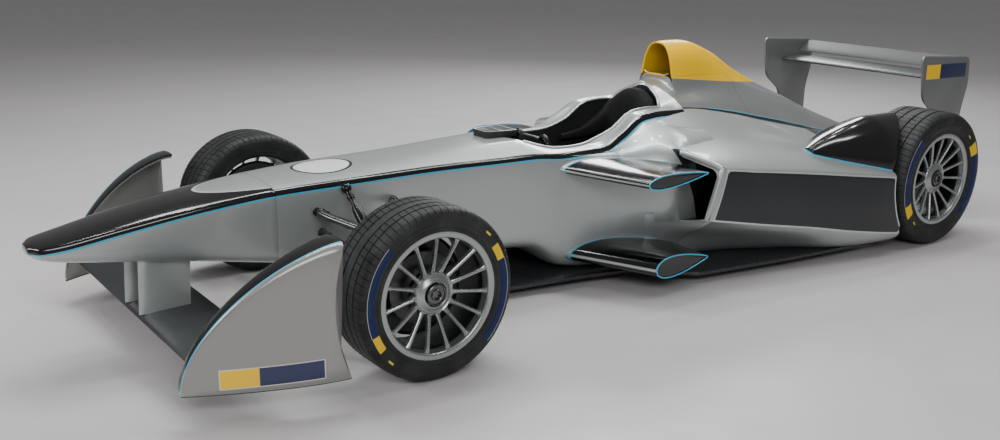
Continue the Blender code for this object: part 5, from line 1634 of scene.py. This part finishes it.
def wheel_paint(axle, name):
    """Satin grey wheel paint with faint lathe marks about its own axle."""
    return turned_finish(name, (0.37, 0.39, 0.39), 0.28, axle, 0.85, 500.0)


FRONT_WHEEL_METAL = wheel_paint(FRONT_TYRE, "front_wheel_satin")
REAR_WHEEL_METAL = wheel_paint(REAR_TYRE, "rear_wheel_satin")
DISC_GREY = (0.10, 0.10, 0.10)
FRONT_DISC_METAL = turned_finish("front_disc_metal", DISC_GREY, 0.36, FRONT_TYRE, 0.9, 2200.0)
REAR_DISC_METAL = turned_finish("rear_disc_metal", DISC_GREY, 0.36, REAR_TYRE, 0.9, 2200.0)
DARK_METAL = metal_finish("dark_metal_coated", (0.035, 0.035, 0.037), 0.38, 0.7)
# Painted shade: dark grey for the rim's inner barrel
BARREL_SHADE_GREY = metal_finish("barrel_satin", (0.040, 0.041, 0.043), 0.42, 0.8)
PICKUP_BLACK = metal_finish("pickup_black", (0.016, 0.016, 0.017), 0.24, 0.6, 300.0, 0.03)
NUT_METAL = metal_finish("nut_metal", (0.16, 0.16, 0.165), 0.30, 1.0)

SPOKE_STATIONS = (
    # share of the reach, width, depth, lift of the outer face
    (0.00, 0.0330, 0.030, -0.004), (0.06, 0.0240, 0.028, -0.002), (0.16, 0.0165, 0.025, 0.000),
    (0.40, 0.0140, 0.022, 0.001), (0.70, 0.0140, 0.020, 0.001), (0.88, 0.0160, 0.021, 0.000),
    (0.96, 0.0210, 0.022, -0.001), (1.00, 0.0270, 0.022, -0.002),
)


# The rim's barrel as (over the bead's radius, outwards from an edge of the tyre's seat): the outer
# lip, the back half and the throat.
RIM_LIP = (
    (0.0, -0.012), (0.0, 0.0003), (0.019, 0.0018), (0.0200, 0.004), (0.0196, 0.0075), (0.0170, 0.0100),
    (0.0120, 0.0110), (0.0040, 0.0112), (-0.0040, 0.0106), (-0.0095, 0.0085), (-0.0120, 0.0050),
    (-0.0128, -0.002), (-0.0150, -0.010), (-0.0190, -0.022), (-0.0190, -0.050), (-0.0100, -0.075),
)
RIM_BACK = (
    (-0.0080, 0.03), (-0.0060, 0.004), (0.0120, -0.008), (0.0190, -0.0085), (0.0198, -0.002),
    (0.0190, -0.0004), (0.0, -0.0003), (0.0, 0.012), (-0.0030, 0.02),
)
RIM_THROAT = ((-0.0050, -0.07), (-0.0140, -0.052), (-0.0140, -0.024))


def cap_face(axle):
    """Where the dished cap of a left wheel lies across the car."""
    return CAR_WIDTH / 2 - axle["width"] / 2 + axle["width"] / 2 * BEAD_SHARE - 0.028


def build_rim(axle, metal, name):
    x, centre_y, z = wheel_centre(axle)
    half = axle["width"] / 2 * BEAD_SHARE
    out, inn = centre_y + half, centre_y - half
    bead_r = BEAD_RADIUS
    centre = (x, 0.0, z)
    profile = [(bead_r + up, edge + over) for edge, rows in (
        (out, RIM_LIP), (inn, RIM_BACK), (out, RIM_THROAT)) for up, over in rows]
    barrel = turned_piece(name + "_barrel", profile, centre, 96)
    face = cap_face(axle)
    start, end = 0.074, bead_r - 0.0135
    rings = []
    for share, width, depth, lift in SPOKE_STATIONS:
        radius = start + (end - start) * share
        level = face + 0.002 + (out + 0.004 - face - 0.002) * share ** 1.15 + lift
        w = width / 2
        ring = [(-w * 0.30, 0.0), (-w * 0.40, -0.0018), (-w * 0.86, -0.0045), (-w, -0.009),
                (-w * 0.94, -depth * 0.75), (-w * 0.70, -depth)]
        ring += [(-dx, dy) for dx, dy in reversed(ring)]
        rings.append([(x + dx, level + dy, z + radius) for dx, dy in ring])
    spoke = grid_piece(name + "_spoke", rings)
    edit(spoke, "VERT")
    choose_all()
    bpy.ops.mesh.spin(steps=SPOKE_COUNT, angle=2.0 * math.pi, dupli=True, center=centre, axis=(0.0, 1.0, 0.0))
    leave_edit()
    cap = turned_piece(name + "_cap", [(radius, face + over) for radius, over in (
        (0.0305, -0.024), (0.070, -0.026), (0.0815, -0.024), (0.0830, -0.004), (0.0822, 0.001),
        (0.0800, 0.0035), (0.0770, 0.0040), (0.0740, 0.0022), (0.0725, 0.0008), (0.066, 0.0030),
        (0.056, 0.0105), (0.0500, 0.0150), (0.0480, 0.0152), (0.0455, 0.0130), (0.0440, 0.004),
        (0.0430, 0.0008), (0.0305, 0.0008))], centre, 96)
    rim = join_pieces([barrel, spoke, cap], name)
    edit(rim)
    turn_out()
    smooth(rim, 35.0)
    paint(rim, metal, BARREL_SHADE_GREY)
    # The inner barrel's faces take the dark grey as painted shade
    for face in rim.data.polygons:
        radius = math.hypot(face.center[0] - x, face.center[2] - z)
        if radius > 0.190 and face.center[1] < out - 0.030:
            face.material_index = 1
    return rim


def build_cap_slots(axle, name):
    """Small dark slots round the cap's edge."""
    x, _, z = wheel_centre(axle)
    face = cap_face(axle)
    pieces = []
    for k in range(SPOKE_COUNT):
        angle = 2.0 * math.pi * (k + 0.5) / SPOKE_COUNT
        slot = block(name + "_slot", (-0.0052, face - 0.004, 0.0775), (0.0052, face + 0.0046, 0.0800))
        slot.data.transform(Matrix.Translation((x, 0.0, z)) @ Matrix.Rotation(angle, 4, "Y"))
        pieces.append(slot)
    slots = join_pieces(pieces, name)
    round_edges(slots, 0.0006, 2)
    return slots


def build_hub(axle, disc_metal, name, inner_y):
    """Brake disc with its bell, and the wheel's centre lock nut."""
    x, _, z = wheel_centre(axle)
    centre = (x, 0.0, z)
    face = cap_face(axle)
    disc_in, disc_out = inner_y + 0.016, inner_y + 0.040
    disc = turned_piece(name + "_disc", (
        (0.086, disc_in), (0.137, disc_in), (0.139, disc_in + 0.001), (0.139, disc_in + 0.008),
        (0.134, disc_in + 0.0085), (0.134, disc_out - 0.0085), (0.139, disc_out - 0.008),
        (0.139, disc_out - 0.001), (0.137, disc_out), (0.086, disc_out),
    ), centre, 96)
    smooth(disc, 30.0)
    paint(disc, disc_metal)
    bell = turned_piece(name + "_bell", (
        (0.022, inner_y + 0.0003), (0.044, inner_y + 0.0003), (0.062, disc_in), (0.0858, disc_in + 0.004),
        (0.0858, disc_out - 0.004), (0.072, disc_out), (0.064, disc_out + 0.006), (0.0600, face - 0.0245),
        (0.022, face - 0.0245),
    ), centre, 64)
    smooth(bell, 30.0)
    paint(bell, DARK_METAL)
    nut = turned_piece(name + "_nut", [(radius, face + over) for radius, over in (
        (0.0, 0.0145), (0.0150, 0.0145), (0.0162, 0.0165), (0.0165, 0.0260), (0.0185, 0.0275),
        (0.0220, 0.0275), (0.0235, 0.0255), (0.0240, 0.0200), (0.0330, 0.0190), (0.0345, 0.0225),
        (0.0370, 0.0235), (0.0395, 0.0220), (0.0405, 0.0180), (0.0415, 0.0020), (0.0, 0.0020))], centre, 64)
    smooth(nut, 30.0)
    paint(nut, NUT_METAL)
    return disc, bell, nut


def build_wheels():
    for place, axle, rubber, metal, disc_metal, inner_y in (
        ("front", FRONT_TYRE, FRONT_TYRE_RUBBER, FRONT_WHEEL_METAL, FRONT_DISC_METAL, 0.738),
        ("rear", REAR_TYRE, REAR_TYRE_RUBBER, REAR_WHEEL_METAL, REAR_DISC_METAL, 0.6603),
    ):
        bodies = (f"wheel_{place}_left", f"wheel_{place}_right")
        tyre = build_tyre(axle, f"{place}_tyre_tread_left")
        settle_pair(paint(tyre, rubber), bodies, "rubber", f"{place}_tyre")
        rim = build_rim(axle, metal, f"{place}_rim_face_left")
        settle_pair(rim, bodies, "wheel_metal", f"{place}_rim")
        slots = build_cap_slots(axle, f"{place}_cap_slots_left")
        settle_pair(paint(slots, DARK_METAL), bodies, "wheel_metal")
        disc, bell, nut = build_hub(axle, disc_metal, f"{place}_hub_left", inner_y)
        turning = [named(disc, f"{place}_brake_disc_left"), named(bell, f"{place}_hub_bell_left"),
                   named(nut, f"{place}_centre_nut_left")]
        if place == "rear":
            turning.append(build_driveshaft())
        for piece in turning:
            settle_pair(piece, bodies, "disc_metal", f"{place}_hub")


def build_driveshaft():
    """The rear driveshaft with its two joints and the folds of one boot, all in dark metal."""
    inner_y, outer_y = 0.1206, 0.6600
    rows = [(0.0, 0.046), (0.075, 0.046), (0.085, 0.043), (0.095, 0.034)]
    for fold in range(5):
        share = 0.10 + 0.012 * fold
        rows += [(share, 0.034 - 0.002 * fold), (share + 0.006, 0.029 - 0.002 * fold)]
    rows += [(0.17, 0.0200), (0.84, 0.0200), (0.86, 0.0240), (0.93, 0.0250), (1.0, 0.0250)]
    shaft = lathe("rear_driveshaft_left", (REAR_AXLE_X, inner_y, REAR_AXLE_Z),
                  (REAR_AXLE_X, outer_y, REAR_AXLE_Z), rows, 32)
    return paint(shaft, DARK_METAL)


# Suspension

ARM_CARBON = carbon_finish("arm_carbon", coat=0.8, roughness=0.22, dark=(0.009, 0.009, 0.010),
                           light=(0.018, 0.019, 0.021))
KINGPIN_Y = 0.70
LUG_Y = 0.2263
UPPER_BALL_Z = 0.4653
LOWER_BALL_Z = 0.1897


def blade(name, start, end, chord, thickness, neck):
    """A streamlined suspension arm between two points, necked down at its ends."""
    start, end = Vector(start), Vector(end)
    rings = []
    for share in (0.0, 0.02, 0.05, 0.09, 0.14, 0.30, 0.50, 0.70, 0.86, 0.92, 0.96, 1.0):
        centre = start + (end - start) * share
        size = 1.0 - neck * max(1.0 - min(share, 1.0 - share) / 0.12, 0.0)
        section = aerofoil(0.0, 0.0, chord * size, thickness * (1.0 + 0.2 * (1.0 - size)), count=8)
        rings.append([(centre.x + chord * size / 2 + x, centre.y, centre.z + z) for x, z in section])
    piece = grid_piece(name, rings)
    smooth(piece, 40.0)
    return paint(piece, ARM_CARBON)


def ball_end(name, place, along):
    """The round bearing where an arm meets the tub: a socket, a ball and its collar."""
    place, along = Vector(place), Vector(along).normalized()
    rows = [(0.0, 0.0165), (0.06, 0.0175), (0.16, 0.0175), (0.19, 0.0140), (0.24, 0.0165), (0.32, 0.0200),
            (0.41, 0.0212), (0.50, 0.0200), (0.58, 0.0165), (0.63, 0.0140), (0.68, 0.0140), (0.71, 0.0165),
            (0.97, 0.0165), (1.0, 0.0130)]
    piece = lathe(name, place, place + along * 0.066, rows, 28)
    return paint(piece, PICKUP_BLACK)


def build_front_suspension():
    upper, lower = [], []
    axle = FRONT_AXLE_X
    for kept, inner_z, legs, outer_z in (
        (upper, 0.514, (0.150, -0.20), UPPER_BALL_Z), (lower, 0.330, (0.19, -0.22), LOWER_BALL_Z),
    ):
        for i, dx in enumerate(legs):
            root = Vector((axle + dx, LUG_Y, inner_z))
            end = Vector((axle + dx * 0.02, KINGPIN_Y, outer_z))
            kept.append(blade(f"arm_{i}", root + (end - root) * 0.07, end, 0.056, 0.0285, 0.16))
            kept.append(ball_end(f"end_{i}", root, end - root))
        kept.append(lathe("boss", (axle, KINGPIN_Y, outer_z - 0.0149), (axle, KINGPIN_Y, outer_z + 0.0149), (
            (0.0, 0.018), (0.08, 0.0225), (0.25, 0.0240), (0.75, 0.0240), (0.92, 0.0225), (1.0, 0.018)), 32))
        paint(kept[-1], NUT_METAL)
    foot = Vector((axle, KINGPIN_Y - 0.015, LOWER_BALL_Z + 0.010))
    head = Vector((axle + 0.020, LUG_Y - 0.003, 0.603))
    lower.append(lathe("pushrod", foot, head, (
        (0.0, 0.0120), (0.03, 0.0160), (0.06, 0.0160), (0.075, 0.0125), (0.10, 0.0125), (0.12, 0.0200),
        (0.72, 0.0215), (0.80, 0.0200), (0.84, 0.0115), (0.88, 0.0110), (0.885, 0.0150), (0.91, 0.0150),
        (0.915, 0.0110), (0.940, 0.0110), (0.952, 0.0180), (0.972, 0.0215), (0.990, 0.0180),
        (1.0, 0.0120)), 28))
    paint(lower[-1], PICKUP_BLACK)
    for stem, pieces in (("front_upper_wishbone", upper), ("front_lower_wishbone", lower)):
        whole = join_pieces(pieces, stem + "_arms_left")
        smooth(whole, 38.0)
        settle_pair(whole, "chassis", "dark_metal", stem)


def build_caliper(axle, kept_y, turn, name):
    """A brake caliper with its bridge bolts, turned round the axle from straight ahead."""
    x, _, z = wheel_centre(axle)
    rings = []
    for k in range(13):
        angle = math.radians(-32.0 + 64.0 * k / 12)
        ease = 1.0 - 0.18 * abs(k - 6) ** 3 / 216.0
        ring = []
        for radius, dy in ((0.100, 0.0), (0.098, 0.016), (0.104, 0.026), (0.135, 0.031), (0.152, 0.026),
                           (0.158, 0.0), (0.152, -0.026), (0.135, -0.031), (0.104, -0.026), (0.098, -0.016)):
            r = 0.125 + (radius - 0.125) * ease
            ring.append((x + r * math.cos(angle + turn), kept_y + dy * ease, z + r * math.sin(angle + turn)))
        rings.append(ring)
    body = grid_piece(name, rings)
    round_edges(body, 0.002, 2, 30.0)
    paint(body, DARK_METAL)
    pieces = [body]
    for k in (-1, 0, 1):
        angle = turn + 0.36 * k
        place = Vector((x + 0.1465 * math.cos(angle), kept_y + 0.0260, z + 0.1465 * math.sin(angle)))
        pieces.append(lathe("bolt", place, place + Vector((0.0, 0.0085, 0.0)),
                            ((0.0, 0.0060), (0.7, 0.0060), (1.0, 0.0045)), 6))
        paint(pieces[-1], NUT_METAL)
    whole = join_pieces(pieces, name)
    smooth(whole, 30.0)
    return whole


def build_knuckle_shells():
    """The cast front uprights, the rear suspension corners, the calipers and the brake ducts, whose dark
    shields also stand in for the shade seen between the spokes.
    """
    for side in ("left", "right"):
        dressed_copy(f"front_knuckle_{side}", CAST_ALLOY, "dark_metal", 0.003, body=f"knuckle_{side}")
        dressed_copy(f"rear_suspension_{side}", DARK_METAL, "dark_metal", 0.002)
    front = build_caliper(FRONT_TYRE, 0.766, math.radians(180.0), "front_caliper_left")
    settle_pair(front, ("knuckle_left", "knuckle_right"), "dark_metal")
    rear = build_caliper(REAR_TYRE, 0.688, math.radians(0.0), "rear_caliper_left")
    settle_pair(rear, "chassis", "dark_metal")
    for name, axle, y, bodies in (("front", FRONT_TYRE, 0.719, ("knuckle_left", "knuckle_right")),
                                  ("rear", REAR_TYRE, 0.641, "chassis")):
        x, _, z = wheel_centre(axle)
        # Dark brake duct shields: real parts that also serve as painted shade behind the spokes
        shield = turned_piece(name + "_brake_duct_left", (
            (0.060, y), (0.160, y - 0.004), (0.186, y + 0.003), (0.194, y + 0.014), (0.191, y + 0.015),
            (0.184, y + 0.006), (0.159, y), (0.060, y + 0.004)), (x, 0.0, z), 64)
        smooth(shield, 30.0)
        settle_pair(paint(shield, DUCT_BLACK), bodies, "carbon")


def build_rack():
    """The track rods, their threaded ends and the rubber boots at the tub."""
    x, z, reach = FRONT_AXLE_X + 0.12, 0.420, 0.660
    pieces = []
    for side in (1, -1):
        rod = lathe("track_rod", (x, 0.0, z), (x, side * reach, z), (
            (0.0, 0.0090), (0.60, 0.0090), (0.62, 0.0115), (0.66, 0.0115), (0.68, 0.0090), (0.93, 0.0090),
            (0.95, 0.0070), (1.0, 0.0070)), 20)
        paint(rod, PICKUP_BLACK)
        eye = lathe("eye", (x, side * reach, z - 0.0088), (x, side * reach, z + 0.0088), (
            (0.0, 0.0110), (0.15, 0.0145), (0.85, 0.0145), (1.0, 0.0110)), 24)
        paint(eye, NUT_METAL)
        rows = [(0.0, 0.0180)]
        for fold in range(6):
            rows += [(0.08 + 0.14 * fold, 0.0185 - 0.0007 * fold),
                     (0.15 + 0.14 * fold, 0.0145 - 0.0006 * fold)]
        rows.append((1.0, 0.0100))
        boot = lathe("boot", (x, side * 0.212, z), (x, side * 0.285, z), rows, 24)
        paint(boot, BOOT_RUBBER)
        pieces += [rod, eye, boot]
    rack = join_pieces(pieces, "steering_rods")
    smooth(rack, 38.0)
    settle(rack, "steering_rack", "dark_metal", "steering_rack")


# Cockpit

PAD_FABRIC = rubber_finish("pad_fabric", 0.84, 0.05, (), 0.6)
BOOT_RUBBER = rubber_finish("boot_rubber", 0.55, 0.2)
BELT_WEB = rubber_finish("belt_webbing", 0.85, 0.35)
CAST_ALLOY = metal_finish("cast_alloy", (0.22, 0.22, 0.225), 0.45, 0.85, 260.0, 0.16)
SCREEN_GLASS = new_finish("screen_glass", (0.010, 0.014, 0.018), 0.08, 0.0, 1.0, 0.02)
wire_up(SCREEN_GLASS, Roughness=grain(SCREEN_GLASS, 40.0, 0.05, 0.12), Normal=paint_bump(SCREEN_GLASS))


def button_finish(name, colour):
    material = new_finish(name, colour, 0.35, 0.0, 0.3)
    tone = mix_colour(material, grain(material, 60.0, 0.0, 1.0), tuple(c * 0.8 for c in colour), colour)
    rough = grain(material, 400.0, 0.3, 0.42)
    return wire_up(material, Base_Color=tone, Roughness=rough, Normal=paint_bump(material))


BUTTON_COLOURS = [button_finish(name, colour) for name, colour in (
    ("red_button", (0.55, 0.02, 0.015)), ("green_button", (0.02, 0.30, 0.05)),
    ("blue_button", (0.02, 0.08, 0.45)), ("yellow_button", (0.75, 0.50, 0.02)))]


# Top of the headrest's arms: distances behind x = 0, and heights there.
HEADREST_RISE = (
    (0.07, 0.12, 0.20, 0.25, 0.30, 0.36, 0.40), (0.600, 0.604, 0.618, 0.642, 0.676, 0.722, 0.760),
)


def build_headrest():
    """The padded collar: two arms that rise into a domed rest behind the head."""
    plan = smooth_line([(-0.070, 0.152), (-0.180, 0.154), (-0.290, 0.152), (-0.370, 0.140), (-0.408, 0.100),
                        (-0.420, 0.050), (-0.422, 0.0)], 7)
    plan = [tuple(p) for p in plan]
    plan += [(x, -y) for x, y in reversed(plan[:-1])]
    count = len(plan)
    rings = []
    for i, (x, y) in enumerate(plan):
        ahead, behind = plan[min(i + 1, count - 1)], plan[max(i - 1, 0)]
        run = Vector((ahead[0] - behind[0], ahead[1] - behind[1], 0.0)).normalized()
        out = Vector((run.y, -run.x, 0.0))
        if out.dot(Vector((x + 0.2, y, 0.0))) < 0.0:
            out = -out
        rise = float(np.interp(-x, *HEADREST_RISE))
        dome = 0.742 + 0.082 * max(1.0 - (abs(y) / 0.150) ** 2.3, 0.0)
        share = min(max((-x - 0.340) / 0.06, 0.0), 1.0)
        top = rise + (dome - rise) * share
        width = 0.013 + 0.024 * min(max((-x - 0.20) / 0.18, 0.0), 1.0)
        low = max(top - 0.20, 0.570)
        end = 0.55 if i in (0, count - 1) else 1.0
        ring = []
        for k in range(20):
            angle = 2.0 * math.pi * k / 20
            ca, sa = math.cos(angle), math.sin(angle)
            round_x = math.copysign(abs(ca) ** 0.62, ca) * width * end
            round_z = math.copysign(abs(sa) ** 0.62, sa)
            inward = -0.030 * max(0.5 - 0.5 * sa, 0.0) * share if ca < 0.0 else 0.0
            middle, half = (top + low) / 2, (top - low) / 2 * (0.8 + 0.2 * end)
            point = Vector((x, y, middle + half * round_z)) + out * (round_x + inward)
            ring.append(point)
        rings.append(ring)
    pad = grid_piece("headrest_pad", rings)
    smooth(pad, 50.0)
    settle(paint(pad, PAD_FABRIC), "chassis", "padding", "headrest")


SEAT_ROWS = (
    (0.300, 0.150, 0.2303, 0.330), (0.200, 0.150, 0.1723, 0.270), (0.100, 0.150, 0.1383, 0.220),
    (0.020, 0.150, 0.1303, 0.200), (-0.100, 0.155, 0.1303, 0.200), (-0.300, 0.155, 0.2200, 0.330),
    (-0.420, 0.130, 0.3800, 0.560),
)


def build_seat():
    """The moulded seat shell with its raised sides, and the harness that lies in it."""
    rings = []
    for x in np.linspace(0.300, -0.420, 40):
        half, low, high = read_row(SEAT_ROWS, x)
        inner = smooth_line([(half - 0.006, high), (half * 0.88, low + (high - low) * 0.35),
                             (half * 0.55, low + 0.022), (0.0, low + 0.015)], 5)
        inner += [(-y, z) for y, z in reversed(inner[:-1])]
        ring = [(-half, high - 0.004), (-half, low), (half, low), (half, high - 0.004)]
        rings.append([(x, y, z) for y, z in ring] + [(x, y, z) for y, z in inner])
    seat = grid_piece("seat_shell", rings)
    round_edges(seat, 0.003, 2, 50.0)
    settle(paint(seat, COCKPIT_CARBON), "chassis", "carbon", "seat")
    for side in (1, -1):
        name = "left" if side > 0 else "right"
        for stem, path in (
            ("shoulder_belt", ((-0.400, 0.075, 0.560), (-0.330, 0.082, 0.440), (-0.240, 0.080, 0.330),
                               (-0.150, 0.062, 0.240), (-0.060, 0.028, 0.195))),
            ("lap_belt", ((0.020, 0.130, 0.200), (0.010, 0.095, 0.175), (-0.010, 0.055, 0.172),
                          (-0.040, 0.025, 0.180))),
        ):
            line = smooth_line([(x, side * y, z) for x, y, z in path], 6)
            belt = bead(f"{stem}_{name}", line, 0.0225, flat=0.07, steps=10, across=(0.35, 0.0, 1.0))
            settle(paint(belt, BELT_WEB), "chassis", "padding")
    buckle = lathe("harness_buckle", (-0.055, 0.0, 0.176), (-0.064, 0.0, 0.208), (
        (0.0, 0.026), (0.35, 0.030), (0.70, 0.030), (0.82, 0.027), (0.86, 0.018), (1.0, 0.016)), 32)
    settle(paint(buckle, NUT_METAL), "chassis", "dark_metal")


def build_dash():
    """The dash bulkhead, and the black box with a pale frame that stands over it."""
    panel = block("dash_panel", (0.4003, -0.130, 0.502), (0.4297, 0.130, 0.668))
    sink_faces(panel, lambda face: face.normal[0] < -0.9, 0.016, (0.004, -0.006))
    round_edges(panel, 0.005, 3)
    settle(paint(panel, COCKPIT_CARBON), "chassis", "carbon", "dashboard")
    outline = [(0.534, 0.046), (0.512, 0.060), (0.380, 0.082)]
    plan = outline + [(x, -y) for x, y in reversed(outline)]
    cowl = flat_plate("dash_cowl", [(x, y, 0.676) for x, y in plan])
    thicken(cowl, (0.0, 0.0, 0.0300))
    sink_faces(cowl, lambda face: face.normal[2] > 0.9, 0.0055, (0.0015, -0.0035))
    round_edges(cowl, 0.0016, 2, 40.0)
    paint(cowl, COCKPIT_CARBON, SILVER_PAINT)
    for face in cowl.data.polygons:
        high, level = face.center[2], face.normal[2]
        inside = high < 0.7045 and level > 0.9
        face.material_index = 1 if high > 0.7035 and level > 0.5 and not inside else 0
    settle(cowl, "chassis", "carbon", "dashboard")
    rib = block("cowl_rib", (0.448, -0.066, 0.7020), (0.4535, 0.066, 0.7062))
    round_edges(rib, 0.0015, 2)
    settle(paint(rib, SILVER_PAINT), "chassis", "carbon")


def build_steering_wheel():
    """The driver's wheel: a plate with a screen and buttons, two grips and the column."""
    x, z = 0.235, 0.600
    plan = [(-0.085, -0.050), (-0.092, 0.0), (-0.085, 0.046), (-0.045, 0.052), (0.045, 0.052), (0.085, 0.046),
            (0.092, 0.0), (0.085, -0.050), (0.040, -0.058), (-0.040, -0.058)]
    plate = flat_plate("wheel_plate", [(x - 0.012, y, z + dz) for y, dz in plan])
    thicken(plate, (0.024, 0.0, 0.0))
    round_edges(plate, 0.005, 3, 40.0)
    paint(plate, COCKPIT_CARBON)
    pieces = [plate]
    for side in (1, -1):
        path = smooth_line([(x, side * y, z + dz) for y, dz in (
            (0.070, 0.043), (0.098, 0.055), (0.124, 0.032), (0.1265, -0.030), (0.102, -0.060),
            (0.070, -0.048))], 6)
        grip = bead("grip", path, lambda share: 0.0120 + 0.0042 * math.sin(math.pi * share) ** 0.5, steps=14,
                    across=(1.0, 0.0, 0.0))
        paint(grip, PICKUP_BLACK)
        pieces.append(grip)
    column = lathe("column", (x, 0.0, z), (0.3997, 0.0, z), (
        (0.0, 0.018), (0.10, 0.018), (0.12, 0.026), (0.26, 0.026), (0.28, 0.018), (1.0, 0.018)), 24)
    paint(column, PICKUP_BLACK)
    screen = block("screen", (x - 0.0150, -0.040, z + 0.002), (x - 0.0110, 0.040, z + 0.040))
    round_edges(screen, 0.0018, 2)
    paint(screen, SCREEN_GLASS)
    pieces += [column, screen]
    places = ((0.062, 0.034), (0.066, 0.012), (0.064, -0.012), (0.050, -0.034), (0.022, -0.042))
    for k, (y, dz) in enumerate(places):
        for side in (1, -1):
            button = lathe("button", (x - 0.0110, side * y, z + dz), (x - 0.0190, side * y, z + dz), (
                (0.0, 0.0072), (0.35, 0.0072), (0.40, 0.0055), (0.88, 0.0055), (1.0, 0.0042)), 16)
            paint(button, BUTTON_COLOURS[(k + (side > 0)) % 4])
            pieces.append(button)
    wheel = join_pieces(pieces, "driver_wheel")
    smooth(wheel, 38.0)
    settle(wheel, "steering_wheel", "carbon", "steering_wheel")


# Pieces that keep their CAD shape

def dressed_copy(node, material, slot, width, body="chassis"):
    piece = copy_of(node)
    round_edges(piece, width, 2, 30.0)
    settle(paint(piece, material), body, slot, node)


FLOOR_CARBON = carbon_finish("floor_carbon", coat=0.35, roughness=0.30)
CASING_METAL = metal_finish("casing_cast", (0.17, 0.17, 0.175), 0.5, 0.8, 220.0, 0.2)


def dress_the_rest():
    dressed_copy("floor", FLOOR_CARBON, "carbon", 0.0030)
    dressed_copy("gearbox", CASING_METAL, "casing", 0.004)
    paint(frame["nodes"]["battery_case"], CASING_METAL)


# Stage, light and camera

def stage_finish():
    material = new_finish("show_floor", (0.56, 0.54, 0.535), 0.42)
    drift = grain(material, 0.35, 0.0, 1.0, 3.0)
    colour = mix_colour(material, drift, (0.54, 0.522, 0.522), (0.58, 0.56, 0.555))
    return wire_up(material, Base_Color=colour, Roughness=grain(material, 4.0, 0.36, 0.48, 3.0))


def hang_lamp(name, place, aim, size, power):
    light = bpy.data.lights.new(name, "AREA")
    light.shape = "RECTANGLE"
    light.size, light.size_y = size
    light.energy = power
    lamp = link(bpy.data.objects.new(name, light))
    direction = Vector(aim) - Vector(place)
    lamp.matrix_world = Matrix.Translation(place) @ direction.to_track_quat("-Z", "Y").to_matrix().to_4x4()


def build_stage():
    deselect()
    bpy.ops.mesh.primitive_grid_add(x_subdivisions=4, y_subdivisions=4, size=80.0, location=(0.0, 0.0, 0.0))
    floor = bpy.context.object
    floor.name = "show_floor"
    paint(floor, stage_finish())
    world = bpy.context.scene.world or bpy.data.worlds.new("studio")
    bpy.context.scene.world = world
    world.use_nodes = True
    background = world.node_tree.nodes["Background"]
    background.inputs["Color"].default_value = (0.70, 0.70, 0.70, 1.0)
    background.inputs["Strength"].default_value = 0.29
    for name, place, aim, size, power in (
        ("key_box", (3.4, 5.2, 3.6), (0.2, 0.0, 0.4), (5.0, 1.3), 175.0),
        ("top_box", (-0.3, -0.2, 5.2), (0.0, 0.0, 0.0), (7.5, 0.5), 205.0),
        ("back_box", (-4.5, -4.0, 3.6), (-0.5, 0.0, 0.5), (3.0, 1.4), 175.0),
        ("nose_box", (6.0, -1.5, 3.0), (1.6, 0.0, 0.3), (2.6, 1.4), 130.0),
    ):
        hang_lamp(name, place, aim, size, power)
    for row in range(2):
        for k in range(6):
            place = (2.6 - 1.3 * k, -0.5 - 1.6 * row, 6.0)
            hang_lamp(f"hall_lamp_{row}_{k}", place, (place[0], place[1], 0.0), (0.30, 0.30), 16.0)


def place_camera():
    """The camera at the photograph's angle."""
    place = (3.258, 3.936, 1.622)
    yaw, pitch, roll = -2.197, -0.273, 0.011
    forward = Vector((math.cos(pitch) * math.cos(yaw), math.cos(pitch) * math.sin(yaw), math.sin(pitch)))
    right = forward.cross(Vector((0.0, 0.0, 1.0))).normalized()
    up = right.cross(forward)
    turned_right = math.cos(roll) * right + math.sin(roll) * up
    turned_up = -math.sin(roll) * right + math.cos(roll) * up
    data = bpy.data.cameras.new("photo_camera")
    data.sensor_width = 36.0
    data.lens = 38.39
    camera = link(bpy.data.objects.new("photo_camera", data))
    turn = Matrix((turned_right, turned_up, -forward)).transposed().to_4x4()
    camera.matrix_world = Matrix.Translation(place) @ turn
    bpy.context.scene.camera = camera


def build_car():
    build_nose()
    build_pylons()
    build_tub()
    build_cockpit_lip()
    build_cover()
    pod_block = build_sidepod()
    build_side_panel()
    build_fairing(pod_block)
    build_endplates()
    build_front_wing()
    build_rear_wing()
    build_winglet("upper_winglet", UPPER_WINGLET)
    build_winglet("lower_winglet", LOWER_WINGLET)
    build_wheels()
    build_front_suspension()
    build_knuckle_shells()
    build_rack()
    build_headrest()
    build_seat()
    build_dash()
    build_steering_wheel()
    dress_the_rest()


place_camera()
build_stage()
build_car()
